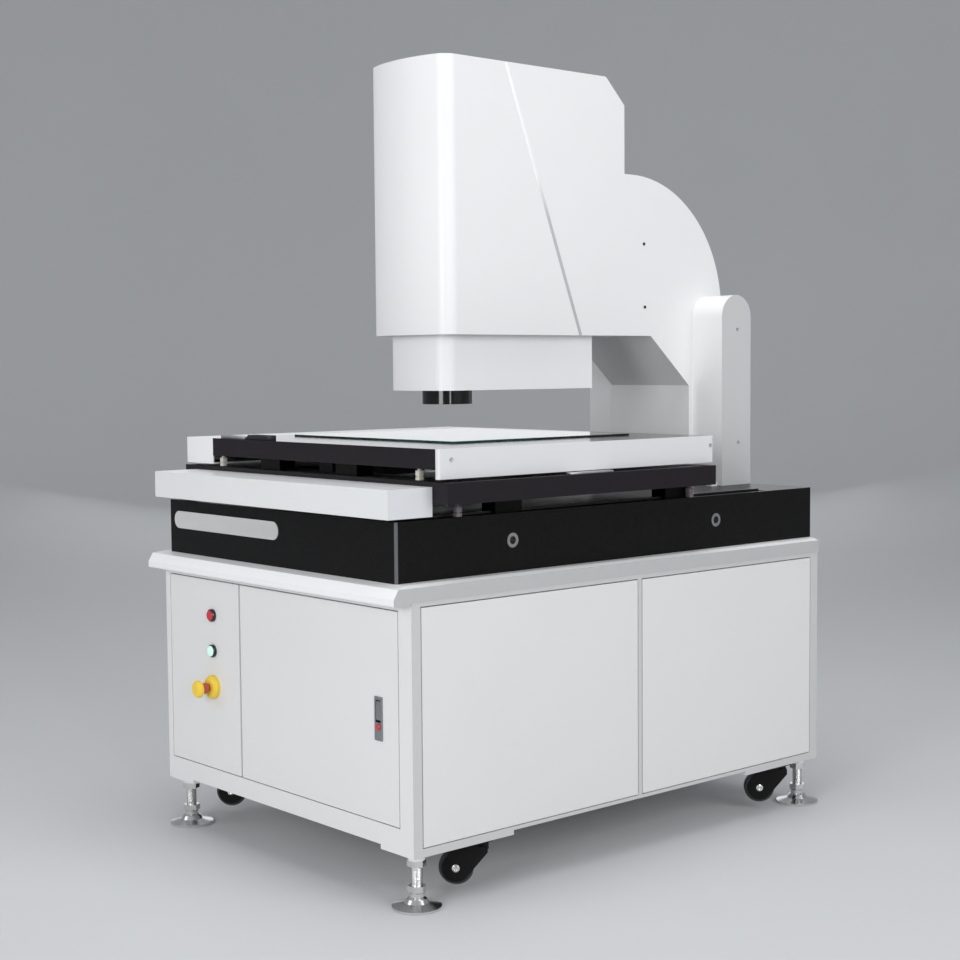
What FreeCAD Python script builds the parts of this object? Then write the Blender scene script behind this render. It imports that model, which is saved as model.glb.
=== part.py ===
# Vision measuring machine: a granite measuring base on a steel cabinet, a crossed X and Y stage with a
# glass plate, and a fixed column whose arm holds a camera head that travels along Z.
# Frame: +X to the machine's right, the front faces -Y, +Z up, millimetres, origin on the floor under the
# middle of the machine. The stages and the camera head are drawn in the middle of their working place.
import FreeCAD, Part
import Sketcher
import math
import os
import re

Vector = FreeCAD.Vector
doc = FreeCAD.newDocument("measuring_machine")

# Driving sizes
SIZES = {
    # cabinet
    "cabinet_width": 956, "cabinet_depth": 1312, "cabinet_middle": 7, "cabinet_bottom": 125,
    "cabinet_top": 640, "frame_bar": 50, "floor_sheet": 3, "pad_width": 110, "pad_length": 274,
    "pad_height": 10, "beam_width": 60, "beam_height": 50, "beam_pitch": 400,
    "panel_depth": 18, "panel_sheet": 2, "panel_gap": 2.5, "panel_land": 14,
    "side_margin_front": 26, "side_margin_rear": 30, "side_mullion": 16, "side_mullion_y": 16,
    "side_panel_bottom": 135, "side_panel_top": 628,
    "front_panel_bottom": 172, "front_panel_top": 618, "front_margin_left": 23,
    "front_margin_right": 46, "door_left": -152, "front_mullion": 5, "door_setback": 24,
    # door hinge and lock
    "hinge_inset": 12, "hinge_setback": 8, "hinge_pin_radius": 4, "hinge_pin_length": 34,
    "hinge_boss": 24, "hinge_boss_height": 20, "door_edge": 8, "door_inner_round": 6,
    "door_outer_round": 2, "running_gap": 0.05,
    "lock_x": 368, "lock_z": 389, "lock_width": 25, "lock_height": 92, "lock_plate": 3,
    "lock_body_width": 21, "lock_body_height": 84, "lock_body_depth": 32, "lock_recess": 16,
    "lock_recess_width": 17, "lock_recess_low": -8, "lock_recess_high": 39,
    "lock_finger_gap": 5, "lock_handle_thick": 6, "lock_pivot_radius": 2,
    "lock_button_drop": 17.5, "lock_button_radius": 7, "lock_button_proud": 3,
    # push buttons
    "button_x": -268, "red_button_z": 536, "green_button_z": 452, "stop_button_z": 366,
    "bezel_radius": 15, "bezel_height": 8, "button_cap_radius": 12.5, "button_stem_radius": 9,
    "button_barrel_radius": 11,
    "button_hole_radius": 11.2, "button_barrel_length": 42, "button_travel": 3,
    "stop_base_radius": 28, "stop_base_height": 15, "stop_neck_radius": 13,
    "stop_knob_radius": 20.5, "stop_knob_height": 15, "stop_travel": 6, "stop_neck_height": 15,
    # levelling feet
    "foot_x": 440, "foot_inset": 37, "foot_rear_inset": 29, "foot_disc_radius": 52,
    "foot_disc_rim": 5, "foot_disc_height": 24, "foot_neck_radius": 16, "foot_stud_radius": 12,
    "foot_stud_top": 128, "foot_nut_radius": 20, "foot_nut_height": 13, "foot_boss_radius": 18,
    "foot_boss_height": 14,
    # casters
    "caster_x": 436, "caster_inset": 187, "caster_rear_inset": 128, "caster_turn": -45,
    "caster_plate_width": 74, "caster_plate_length": 64, "caster_plate_thick": 4,
    "swivel_radius": 25, "swivel_height": 9, "wheel_radius": 37.5, "wheel_width": 24,
    "wheel_floor_gap": 18, "wheel_trail": 30, "axle_radius": 5, "fork_gap": 2, "fork_wall": 4,
    "fork_round": 30,
    # tray and granite
    "tray_side": 2, "tray_front": 46, "tray_rear": 2, "tray_height": 35, "tray_lip": 10,
    "tray_lip_drop": 5, "tray_lip_round": 5, "tray_lip_gap": 3, "tray_nose": 12,
    "tray_nose_height": 30, "tray_bevel": 5,
    "tray_sheet": 5, "granite_width": 880, "granite_length": 1344,
    "granite_rear": 687, "granite_height": 126, "granite_chamfer": 5, "insert_radius": 16, "insert_bore": 8.65,
    "insert_length": 30, "insert_front": -338, "insert_rear": 320, "insert_drop": 59,
    # guide rails and carriages, the same size on every axis
    "rail_width": 20, "rail_height": 17.5, "rail_waist": 3, "block_width": 44,
    "block_length": 77, "block_foot": 4.6, "block_height": 30, "rail_gap": 0.4,
    # Y drive on the granite
    "y_rail_x": 400, "y_groove_depth": 13, "groove_width": 54, "y_groove_front": -642,
    "y_groove_rear": 520, "rail_end_gap": 6, "y_block_front": -333, "y_block_rear": 200,
    "screw_radius": 8, "y_screw_x": -280, "y_screw_rise": 16, "y_support_front": -432,
    "y_support_thick": 22, "y_support_rear": 545, "support_width": 40, "support_top": 31,
    "y_nut_y": -130, "nut_length": 50, "motor_size": 57, "motor_length": 76,
    "motor_chamfer": 5, "motor_pocket_depth": 16, "motor_pocket_margin": 4,
    # lower stage
    "lower_half": 502, "lower_front": -572, "lower_rear": 248, "lower_rise": 33,
    "lower_thick": 45, "lower_open_half": 200, "lower_open_front": -470,
    "lower_open_rear": 172, "cover_half": 454, "cover_length": 115, "cover_rise": 7,
    "cover_height": 61, "cover_sheet": 3, "x_rail_front": -540, "x_rail_rear": 212,
    "x_groove_depth": 17, "x_groove_half": 492, "x_block_x": 147, "x_screw_y": -492,
    "x_screw_drop": 31, "x_nut_width": 36, "x_nut_top_gap": 18,
    # upper stage
    "upper_left": -370, "upper_right": 470, "upper_front": -576, "upper_rear": 264,
    "upper_gap": 26, "upper_thick": 42, "glass_half": 300, "glass_front": -386,
    "glass_rear": 166, "glass_thick": 10, "glass_rebate": 6, "glass_land": 15,
    "glass_gap": 0.5, "x_channel_width": 44, "x_channel_top_gap": 9, "x_channel_left_wall": 8,
    "x_channel_right": 440, "side_drop": 20, "left_box_width": 117, "right_bar_width": 10,
    "small_motor_size": 42, "small_motor_length": 60, "bar_round": 5,
    # column, arm and head covers
    "cover_wall": 3, "arm_half": 140, "column_front": 558, "column_rear": 685,
    "head_bottom": 1188, "head_top": 1824, "arm_slope_y": 413, "arm_knee_z": 1060,
    "hump_radius": 338, "hump_centre_z": 1253, "head_back_y": 318, "roof_rear_y": 253,
    "roof_chamfer": 64, "seam_low_y": 163, "seam_top_y": -79, "seam_gap": 5,
    "seam_flange": 22, "head_nose": -289, "head_corner": 38, "head_bow": 370,
    "box_door_half": 112, "box_door_rear": 241, "core_half": 100, "core_gap": 10,
    "core_nose_z": 1410, "core_arm_front": 247, "post_width": 101, "post_depth": 113,
    "post_top_z": 1293,
    # camera axis
    "lens_y": -149, "z_plate_half": 80, "z_plate_thick": 30, "z_plate_bottom": 1200,
    "z_plate_top": 1705, "z_rail_x": 50, "z_rail_top": 1684, "z_block_low": 1311,
    "z_block_high": 1470, "saddle_half": 75, "saddle_thick": 20, "saddle_top": 1515,
    "z_screw_out": 15, "z_nut_z": 1390, "z_nut_height": 40, "z_nut_half": 20,
    "z_shelf_thick": 15, "box_half": 106, "box_nose": -257, "box_corner": 38, "box_rear": 235,
    "box_bottom": 1058, "box_top": 1268, "box_wall": 3, "lens_hole_radius": 64,
    "ring_radius": 61, "ring_bottom": 1025, "ring_height": 45, "lens_radius": 34,
    "lens_bottom": 1036, "lens_top": 1300, "lens_front_radius": 26, "camera_size": 50,
    "camera_height": 74, "bracket_half": 26, "bracket_bottom": 1150, "bracket_height": 120,
    "backlight_radius": 60, "backlight_height": 66, "backlight_window": 44,
    # inside and behind the cabinet
    "controller_width": 360, "controller_depth": 300, "controller_height": 150,
    "computer_width": 190, "computer_depth": 430, "computer_height": 380,
    "slot_length": 90, "slot_height": 6, "slot_pitch": 16, "inlet_x": -330, "inlet_z": 210,
    "inlet_width": 48, "inlet_height": 30, "inlet_depth": 32, "inlet_flange": 4,
}

# Places and lengths that follow from the driving sizes
PLACES = {
    "cabinet_front": "cabinet_middle - cabinet_depth / 2",
    "cabinet_rear": "cabinet_middle + cabinet_depth / 2",
    "cabinet_half": "cabinet_width / 2",
    "pad_bottom": "cabinet_bottom - pad_height",
    "boss_bottom": "pad_bottom - foot_boss_height",
        "door_right": "cabinet_half - front_margin_right",
    "control_left": "front_margin_left - cabinet_half",
    "control_right": "door_left - front_mullion",
    "hinge_x": "door_left + hinge_inset",
    "lock_pivot_z": "lock_z + lock_recess_high - 6",
    "lock_button_z": "lock_z - lock_button_drop",
    "hinge_y": "cabinet_front + hinge_setback",
    "foot_front_y": "cabinet_front + foot_inset",
    "foot_rear_y": "cabinet_rear - foot_rear_inset",
    "caster_front_y": "cabinet_front + caster_inset",
    "caster_rear_y": "cabinet_rear - caster_rear_inset",
    "swivel_top": "pad_bottom - caster_plate_thick",
    "fork_top": "swivel_top - swivel_height",
    "axle_z": "wheel_floor_gap + wheel_radius",
    "tray_lip_z": "cabinet_top - tray_lip_drop",
    "granite_bottom": "cabinet_top + tray_height",
    "granite_top": "granite_bottom + granite_height",
    "granite_front": "granite_rear - granite_length",
    "granite_half": "granite_width / 2",
    "insert_z": "granite_top - insert_drop",
    "y_rail_z": "granite_top - y_groove_depth",
    "y_screw_z": "granite_top + y_screw_rise",
    "lower_bottom": "granite_top + lower_rise",
    "lower_top": "lower_bottom + lower_thick",
    "x_rail_z": "lower_top - x_groove_depth",
    "upper_bottom": "lower_top + upper_gap",
    "upper_top": "upper_bottom + upper_thick",
    "x_screw_z": "upper_top - x_screw_drop",
    "side_bottom": "upper_bottom - side_drop",
    "glass_bottom": "upper_top - glass_rebate",
    "motor_face_y": "y_support_rear + y_support_thick + 3",
    "z_plate_front": "0 - z_plate_thick",
    "z_screw_y": "z_plate_front - z_screw_out",
    "saddle_rear": "z_plate_front - block_height",
    "saddle_front": "saddle_rear - saddle_thick",
    "hump_centre_y": "column_rear - hump_radius",
    "hump_top": "hump_centre_z + hump_radius",
    "slope_rate": "(head_bottom - arm_knee_z) / (column_front - arm_slope_y)",
    "slope_length": "sqrt(slope_rate ^ 2 + 1)",
    "seam_lean": "(seam_low_y - seam_top_y) / (head_top - head_bottom)",
}

sheet = doc.addObject("Spreadsheet::Sheet", "sizes")
for row, (word, value) in enumerate(SIZES.items(), start=1):
    sheet.set(f"A{row}", word)
    sheet.set(f"B{row}", str(value))
    sheet.setAlias(f"B{row}", word)
doc.recompute()


def bound(text):
    """Write a size in terms of the sheet's cells, with the places spelled out."""
    def replace(match):
        word = match.group(0)
        if word in PLACES:
            return f"({bound(PLACES[word])})"
        return f"sizes.{word}" if word in SIZES else word
    return re.sub(r"[A-Za-z_][A-Za-z_0-9]*", replace, str(text))


def number(text):
    """The present value of a size or place."""
    return float(sheet.evalExpression(bound(text)))


def bind(item, prop, text):
    item.setExpression(prop, bound(text))


def place(item, x=0, y=0, z=0):
    for letter, text in zip("xyz", (x, y, z)):
        bind(item, f"Placement.Base.{letter}", text)
    return item


# General shapes
def box(name, x, y, z):
    """A block from a low and a high corner, each given per axis as a pair of sizes."""
    block = doc.addObject("Part::Box", name)
    for prop, (low, high) in zip(("Length", "Width", "Height"), (x, y, z)):
        bind(block, prop, f"({high}) - ({low})")
    return place(block, x[0], y[0], z[0])


TURNS = {
    "z": FreeCAD.Rotation(),
    "x": FreeCAD.Rotation(Vector(0, 1, 0), 90),
    "y": FreeCAD.Rotation(Vector(1, 0, 0), -90),
    "-y": FreeCAD.Rotation(Vector(1, 0, 0), 90),
}


def rod(name, axis, radius, start, length):
    """A cylinder that grows from its start point along an axis."""
    cylinder = doc.addObject("Part::Cylinder", name)
    cylinder.Placement = FreeCAD.Placement(Vector(), TURNS[axis])
    bind(cylinder, "Radius", radius)
    bind(cylinder, "Height", length)
    return place(cylinder, *start)


def fuse(name, *pieces):
    joined = doc.addObject("Part::MultiFuse", name)
    joined.Shapes = list(pieces)
    joined.Refine = True
    return joined


def cut(name, piece, *tools):
    tool = tools[0] if len(tools) == 1 else group(f"{name}_tools", *tools)
    result = doc.addObject("Part::Cut", name)
    result.Base = piece
    result.Tool = tool
    result.Refine = True
    return result


def common(name, one, other):
    shared = doc.addObject("Part::Common", name)
    shared.Base = one
    shared.Tool = other
    shared.Refine = True
    return shared


def group(name, *pieces):
    """Separate solids kept together, as identical fasteners are."""
    collection = doc.addObject("Part::Compound", name)
    collection.Links = list(pieces)
    return collection


def corner(point):
    return Vector(number(point[0]), number(point[1]), 0)


def arc_between(start, end, radius):
    """The arc from start to end that bulges to the right of the way it goes."""
    chord = end - start
    left = Vector(-chord.y, chord.x, 0).normalize()
    rise = math.sqrt(max(radius ** 2 - (chord.Length / 2) ** 2, 0))
    centre = (start + end) / 2 + left * rise
    angles = [math.atan2(p.y - centre.y, p.x - centre.x) for p in (start, end)]
    if angles[1] < angles[0]:
        angles[1] += 2 * math.pi
    return Part.ArcOfCircle(Part.Circle(centre, Vector(0, 0, 1), radius), *angles)


def sketch(body, name, plane, offset, outline):
    """A closed outline, counter-clockwise. A corner's third value is the radius of the side after it."""
    drawing = body.newObject("Sketcher::SketchObject", name)
    support = [item for item in body.Origin.OriginFeatures if item.Role == plane][0]
    drawing.AttachmentSupport = (support, [""])
    drawing.MapMode = "FlatFace"
    bind(drawing, "AttachmentOffset.Base.z", offset)
    for index, point in enumerate(outline):
        start = corner(point)
        end = corner(outline[(index + 1) % len(outline)])
        if len(point) == 3:
            drawing.addGeometry(arc_between(start, end, number(point[2])), False)
        else:
            drawing.addGeometry(Part.LineSegment(start, end), False)
    for index in range(len(outline)):
        following = (index + 1) % len(outline)
        drawing.addConstraint(Sketcher.Constraint("Coincident", index, 2, following, 1))
    for index, point in enumerate(outline):
        for kind, text in (("DistanceX", point[0]), ("DistanceY", point[1])):
            row = drawing.addConstraint(
                Sketcher.Constraint(kind, -1, 1, index, 1, number(text)))
            drawing.setExpression(f"Constraints[{row}]", bound(text))
        if len(point) == 3:
            row = drawing.addConstraint(Sketcher.Constraint("Radius", index, number(point[2])))
            drawing.setExpression(f"Constraints[{row}]", bound(point[2]))
    return drawing


def prism(name, axis, low, high, outline):
    """An outline pushed along X, Y or Z. It is drawn in the other two axes, in the order X, Y, Z."""
    plane = {"x": "YZ_Plane", "y": "XZ_Plane", "z": "XY_Plane"}[axis]
    body = doc.addObject("PartDesign::Body", name)
    # the XZ plane looks towards -Y, so its sketch lies at the far end and is pushed back
    offset = f"0 - ({high})" if axis == "y" else low
    pad = body.newObject("PartDesign::Pad", f"{name}_pad")
    pad.Profile = sketch(body, f"{name}_outline", plane, offset, outline)
    bind(pad, "Length", f"({high}) - ({low})")
    return body


def turned(name, outline, axis="z", x=0, y=0, z=0):
    """A piece turned about its own axis: the outline holds radius and height pairs."""
    body = doc.addObject("PartDesign::Body", name)
    drawing = sketch(body, f"{name}_outline", "XZ_Plane", 0, outline)
    turning = body.newObject("PartDesign::Revolution", f"{name}_turning")
    turning.Profile = drawing
    turning.ReferenceAxis = (drawing, ["V_Axis"])
    turning.Angle = 360
    body.Placement = FreeCAD.Placement(Vector(), TURNS[axis])
    return place(body, x, y, z)


NODES = []


def node(name, piece):
    piece.Label = name
    NODES.append(piece)
    return piece


def across(side, near, far):
    """A pair of X values on the right (side 1) or mirrored on the left (side -1)."""
    return (near, far) if side > 0 else (f"0 - ({far})", f"0 - ({near})")


# Cabinet frame
CORNERS = [("front_right", 1, "front"), ("front_left", -1, "front"),
           ("rear_right", 1, "rear"), ("rear_left", -1, "rear")]


SIDE_PANELS = [("cabinet_front + side_margin_front", "side_mullion_y - side_mullion / 2"),
               ("side_mullion_y + side_mullion / 2", "cabinet_rear - side_margin_rear")]


def cabinet_frame():
    blank = box("frame_blank", ("-cabinet_half", "cabinet_half"), ("cabinet_front", "cabinet_rear"),
                ("cabinet_bottom", "cabinet_top"))
    inside_x = ("frame_bar - cabinet_half", "cabinet_half - frame_bar")
    inside_y = ("cabinet_front + frame_bar", "cabinet_rear - frame_bar")
    tools = [box("frame_cavity", inside_x, inside_y, ("cabinet_bottom + floor_sheet", "cabinet_top"))]
    for along, (start, end) in enumerate(SIDE_PANELS):
        tools.append(box(f"side_window_{along}", ("-cabinet_half", "cabinet_half"),
                         (f"{start} + panel_land", f"{end} - panel_land"),
                         ("side_panel_bottom + panel_land", "side_panel_top - panel_land")))
        for side in (1, -1):
            tools.append(box(f"side_rebate_{along}_{side + 1}",
                             across(side, "cabinet_half - panel_depth", "cabinet_half"),
                             (f"{start} - panel_gap", f"{end} + panel_gap"),
                             ("side_panel_bottom - panel_gap", "side_panel_top + panel_gap")))
    front = (("control", "control_left", "control_right", "panel_depth", "panel_gap"),
             ("door", "door_left", "door_right", "door_setback", "panel_gap"))
    for name, left, right, depth, gap in front:
        tools.append(box(f"{name}_window", (f"{left} + panel_land", f"{right} - panel_land"),
                         ("cabinet_front", "cabinet_front + frame_bar"),
                         ("front_panel_bottom + panel_land", "front_panel_top - panel_land")))
        tools.append(box(f"{name}_rebate", (f"{left} - {gap}", f"{right} + {gap}"),
                         ("cabinet_front", f"cabinet_front + {depth}"),
                         (f"front_panel_bottom - {gap}", f"front_panel_top + {gap}")))
    rear_x = ("side_margin_front - cabinet_half", "cabinet_half - side_margin_front")
    tools.append(box("rear_window", (f"{rear_x[0]} + frame_bar", f"{rear_x[1]} - frame_bar"),
                     ("cabinet_rear - frame_bar", "cabinet_rear"),
                     ("side_panel_bottom + panel_land", "side_panel_top - panel_land")))
    tools.append(box("rear_rebate", (f"{rear_x[0]} - panel_gap", f"{rear_x[1]} + panel_gap"),
                     ("cabinet_rear - panel_depth", "cabinet_rear"),
                     ("side_panel_bottom - panel_gap", "side_panel_top + panel_gap")))
    frame = cut("frame_open", blank, *tools)
    extras = []
    for along in (-1, 0, 1):
        middle = f"cabinet_middle + {along} * beam_pitch"
        extras.append(box(f"top_beam_{along + 1}", inside_x,
                          (f"{middle} - beam_width / 2", f"{middle} + beam_width / 2"),
                          ("cabinet_top - beam_height", "cabinet_top")))
    bores = []
    for name, side, end in CORNERS:
        pad_y = (("cabinet_front", "cabinet_front + pad_length") if end == "front" else
                 ("cabinet_rear - pad_length", "cabinet_rear"))
        extras.append(box(f"pad_{name}", across(side, "cabinet_half - pad_width", "cabinet_half"),
                          pad_y, ("pad_bottom", "cabinet_bottom")))
        foot = (f"{side} * foot_x", f"foot_{end}_y", "boss_bottom")
        extras.append(rod(f"foot_boss_{name}", "z", "foot_boss_radius", foot, "foot_boss_height"))
        bores.append(rod(f"foot_bore_{name}", "z", "foot_stud_radius + running_gap", foot,
                         "foot_stud_top - boss_bottom + 4"))
    for name, low in (("top", "front_panel_top + panel_gap"), ("low", "front_panel_bottom - panel_gap - 14")):
        bores.append(rod(f"hinge_bore_{name}", "z", "hinge_pin_radius", ("hinge_x", "hinge_y", low), 14))
    return cut("frame", fuse("frame_joined", frame, *extras), *bores)


def pan(name, x, y, z, open_side):
    """A folded sheet panel with its returns: a block hollowed from the side that faces inwards."""
    outer = box(f"{name}_outer", x, y, z)
    ranges = {"x": list(x), "y": list(y), "z": list(z)}
    for letter, (low, high) in (("x", x), ("y", y), ("z", z)):
        ranges[letter] = [f"{low} + panel_sheet", f"{high} - panel_sheet"]
    letter, end = open_side
    ranges[letter][end] = {"x": x, "y": y, "z": z}[letter][end]
    inner = box(f"{name}_inner", *(tuple(ranges[axis]) for axis in "xyz"))
    return cut(name, outer, inner)


def side_panels():
    panels = []
    for side in (1, -1):
        for along, lengthwise in enumerate(SIDE_PANELS):
            panels.append(pan(f"side_panel_{side + 1}_{along}",
                              across(side, "cabinet_half - panel_depth", "cabinet_half"), lengthwise,
                              ("side_panel_bottom", "side_panel_top"),
                              ("x", 0 if side > 0 else 1)))
    return group("side_panel_set", *panels)


def rear_panel():
    panel = pan("rear_pan", ("side_margin_front - cabinet_half", "cabinet_half - side_margin_front"),
                ("cabinet_rear - panel_depth", "cabinet_rear"),
                ("side_panel_bottom", "side_panel_top"), ("y", 0))
    tools = []
    for column in (-1, 0, 1):
        for row in range(7):
            middle = f"{column} * slot_length * 1.4"
            low = f"side_panel_top - 70 - {row} * slot_pitch"
            tools.append(box(f"slot_{column + 1}_{row}",
                             (f"{middle} - slot_length / 2", f"{middle} + slot_length / 2"),
                             ("cabinet_rear - panel_depth", "cabinet_rear"),
                             (f"{low} - slot_height", low)))
    tools.append(box("inlet_hole", ("inlet_x - inlet_width / 2", "inlet_x + inlet_width / 2"),
                     ("cabinet_rear - panel_depth", "cabinet_rear"),
                     ("inlet_z - inlet_height / 2", "inlet_z + inlet_height / 2")))
    return cut("rear_panel_cut", panel, *tools)


def control_panel():
    panel = pan("control_pan", ("control_left", "control_right"),
                ("cabinet_front", "cabinet_front + panel_depth"),
                ("front_panel_bottom", "front_panel_top"), ("y", 1))
    holes = [rod(f"button_hole_{word}", "y", "button_hole_radius",
                 ("button_x", "cabinet_front", f"{word}_button_z"), "panel_depth")
             for word in ("red", "green", "stop")]
    return cut("control_panel_cut", panel, *holes)


def front_door():
    inner_y = "cabinet_front + panel_depth"
    outline = [("door_left + door_outer_round", "cabinet_front"), ("door_right", "cabinet_front"),
               ("door_right", inner_y), ("door_left + door_inner_round", inner_y, "door_inner_round"),
               ("door_left", f"{inner_y} - door_inner_round"),
               ("door_left", "cabinet_front + door_outer_round", "door_outer_round")]
    blank = prism("door_blank", "z", "front_panel_bottom", "front_panel_top", outline)
    hollow = box("door_hollow", ("door_left + door_edge", "door_right - panel_sheet"),
                 ("cabinet_front + panel_sheet", inner_y),
                 ("front_panel_bottom + panel_sheet", "front_panel_top - panel_sheet"))
    bosses = []
    holes = []
    ends = (("low", "front_panel_bottom", "front_panel_bottom + hinge_boss_height"),
            ("top", "front_panel_top - hinge_boss_height", "front_panel_top"))
    for name, low, high in ends:
        bosses.append(box(f"hinge_boss_{name}", ("door_left + door_edge", "door_left + hinge_boss"),
                          ("cabinet_front + panel_sheet", inner_y), (low, high)))
        holes.append(rod(f"hinge_hole_{name}", "z", "hinge_pin_radius + running_gap",
                         ("hinge_x", "hinge_y", low), f"{high} - ({low})"))
    holes.append(box("lock_hole", ("lock_x - lock_body_width / 2", "lock_x + lock_body_width / 2"),
                     ("cabinet_front", inner_y),
                     ("lock_z - lock_body_height / 2", "lock_z + lock_body_height / 2")))
    return cut("door_cut", fuse("door_joined", cut("door_pan", blank, hollow), *bosses), *holes)


def hinge_pins():
    reach = "hinge_pin_length - 14"
    low = rod("hinge_pin_low", "z", "hinge_pin_radius",
              ("hinge_x", "hinge_y", "front_panel_bottom - panel_gap - 14"), "hinge_pin_length")
    top = rod("hinge_pin_top", "z", "hinge_pin_radius",
              ("hinge_x", "hinge_y", f"front_panel_top + panel_gap - ({reach})"), "hinge_pin_length")
    return group("hinge_pin_pair", low, top)


# Door lock: a flush body, a pull that swings out about its upper end, and a push button under it
def lock_body():
    half_width = "lock_width / 2"
    plate = box("lock_front", (f"lock_x - {half_width}", f"lock_x + {half_width}"),
                ("cabinet_front - lock_plate", "cabinet_front"),
                ("lock_z - lock_height / 2", "lock_z + lock_height / 2"))
    housing = box("lock_housing", ("lock_x - lock_body_width / 2", "lock_x + lock_body_width / 2"),
                  ("cabinet_front", "cabinet_front + lock_body_depth"),
                  ("lock_z - lock_body_height / 2", "lock_z + lock_body_height / 2"))
    recess = box("lock_recess_hole",
                 ("lock_x - lock_recess_width / 2", "lock_x + lock_recess_width / 2"),
                 ("cabinet_front - lock_plate", "cabinet_front + lock_recess - lock_plate"),
                 ("lock_z + lock_recess_low", "lock_z + lock_recess_high"))
    pivot = rod("lock_pivot_hole", "x", "lock_pivot_radius + running_gap",
                ("lock_x - lock_recess_width / 2 - 2", "cabinet_front + 3", "lock_pivot_z"),
                "lock_recess_width + 4")
    well = rod("lock_button_hole", "y", "lock_button_radius + running_gap",
               ("lock_x", "cabinet_front - lock_plate", "lock_button_z"), "lock_plate + 18")
    return cut("lock_body_cut", fuse("lock_joined", plate, housing), recess, pivot, well)


def lock_handle():
    wide = ("lock_x - lock_recess_width / 2 + 0.5", "lock_x + lock_recess_width / 2 - 0.5")
    front = "cabinet_front - lock_plate + 0.5"
    rear = f"{front} + lock_handle_thick"
    top = "lock_pivot_z - 3"
    paddle = box("lock_paddle", wide, (front, rear),
                 ("lock_z + lock_recess_low + lock_finger_gap", top))
    # the pivot end is round, so that it turns inside the recess
    hub = rod("lock_hub", "x", 4.5, (wide[0], "cabinet_front + 3", "lock_pivot_z"),
              "lock_recess_width - 1")
    neck = box("lock_neck", wide, (f"{front} + 1", rear), (f"{top} - 1", "lock_pivot_z"))
    pin = rod("lock_pin", "x", "lock_pivot_radius",
              ("lock_x - lock_recess_width / 2 - 1.5", "cabinet_front + 3", "lock_pivot_z"),
              "lock_recess_width + 3")
    return fuse("lock_handle_joined", paddle, hub, neck, pin)


def lock_button():
    outline = [(0, -11), ("lock_button_radius", -11), ("lock_button_radius", "lock_button_proud - 1.5"),
               ("lock_button_radius - 2", "lock_button_proud"), (0, "lock_button_proud")]
    return turned("lock_button_turned", outline, "-y", "lock_x", "cabinet_front - lock_plate",
                  "lock_button_z")


# Push buttons on the control panel
def push_button(name, height):
    outline = [(0, -30), ("button_stem_radius", -30), ("button_stem_radius", "button_travel + 0.2"),
               ("button_cap_radius", "button_travel + 0.2"), ("button_cap_radius", "bezel_height + 1"),
               ("button_cap_radius - 2", "bezel_height + 2.5"), (0, "bezel_height + 3")]
    return turned(name, outline, "-y", "button_x", "cabinet_front", height)


def button_bezel(name, height):
    rim = "button_cap_radius + 0.3"
    sleeve = "button_stem_radius + running_gap"
    outline = [(sleeve, "-button_barrel_length"), ("button_barrel_radius", "-button_barrel_length"),
               ("button_barrel_radius", 0), ("bezel_radius", 0), ("bezel_radius", "bezel_height - 1.5"),
               ("bezel_radius - 1.5", "bezel_height"), (rim, "bezel_height"), (rim, 0.1), (sleeve, 0.1)]
    return turned(name, outline, "-y", "button_x", "cabinet_front", height)


def stop_base():
    sleeve = "button_stem_radius + running_gap"
    outline = [(sleeve, "-button_barrel_length"), ("button_barrel_radius", "-button_barrel_length"),
               ("button_barrel_radius", 0), ("stop_base_radius", 0),
               ("stop_base_radius", "stop_base_height - 7"),
               ("stop_base_radius - 3", "stop_base_height - 3"),
               ("stop_base_radius - 9", "stop_base_height"), (sleeve, "stop_base_height")]
    return turned("stop_base_turned", outline, "-y", "button_x", "cabinet_front", "stop_button_z")


def stop_knob():
    neck_low = "stop_base_height + stop_travel + 0.5"
    neck_top = f"{neck_low} + stop_neck_height"
    top = f"{neck_top} + stop_knob_height"
    outline = [(0, -30), ("button_stem_radius", -30), ("button_stem_radius", neck_low),
               ("stop_neck_radius", neck_low), ("stop_neck_radius", neck_top),
               ("stop_knob_radius", f"{neck_top} + 3"), ("stop_knob_radius", f"{top} - 6"),
               ("stop_knob_radius - 3", f"{top} - 2"), ("stop_knob_radius - 8", top), (0, top)]
    return turned("stop_knob_turned", outline, "-y", "button_x", "cabinet_front", "stop_button_z")


# Levelling feet
def levelling_foot(name, side, end):
    seat = "foot_disc_height"
    outline = [(0, 0), ("foot_disc_radius", 0), ("foot_disc_radius", "foot_disc_rim"),
               ("foot_disc_radius * 0.78", "foot_disc_rim + 3"),
               ("foot_disc_radius * 0.5", f"{seat} * 0.5"),
               ("foot_neck_radius + 5", f"{seat} - 4"), ("foot_neck_radius", seat),
               ("foot_neck_radius", f"{seat} + 8"), ("foot_stud_radius", f"{seat} + 10"),
               ("foot_stud_radius", "foot_stud_top"), (0, "foot_stud_top")]
    stem = turned(f"foot_stem_{name}", outline, "z", f"{side} * foot_x", f"foot_{end}_y", 0)
    nut = doc.addObject("Part::Prism", f"foot_hex_{name}")
    nut.Polygon = 6
    bind(nut, "Circumradius", "foot_nut_radius")
    bind(nut, "Height", "foot_nut_height")
    place(nut, f"{side} * foot_x", f"foot_{end}_y", f"{seat} + 10")
    return fuse(f"foot_joined_{name}", stem, nut)


def foot_lock_nuts():
    nuts = []
    for name, side, end in CORNERS:
        at = (f"{side} * foot_x", f"foot_{end}_y", "boss_bottom - foot_nut_height")
        nut = doc.addObject("Part::Prism", f"lock_nut_{name}")
        nut.Polygon = 6
        bind(nut, "Circumradius", "foot_nut_radius")
        bind(nut, "Height", "foot_nut_height")
        place(nut, *at)
        nuts.append(cut(f"lock_nut_cut_{name}", nut,
                        rod(f"lock_nut_bore_{name}", "z", "foot_stud_radius + running_gap", at,
                            "foot_nut_height")))
    return group("lock_nut_set", *nuts)


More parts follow.
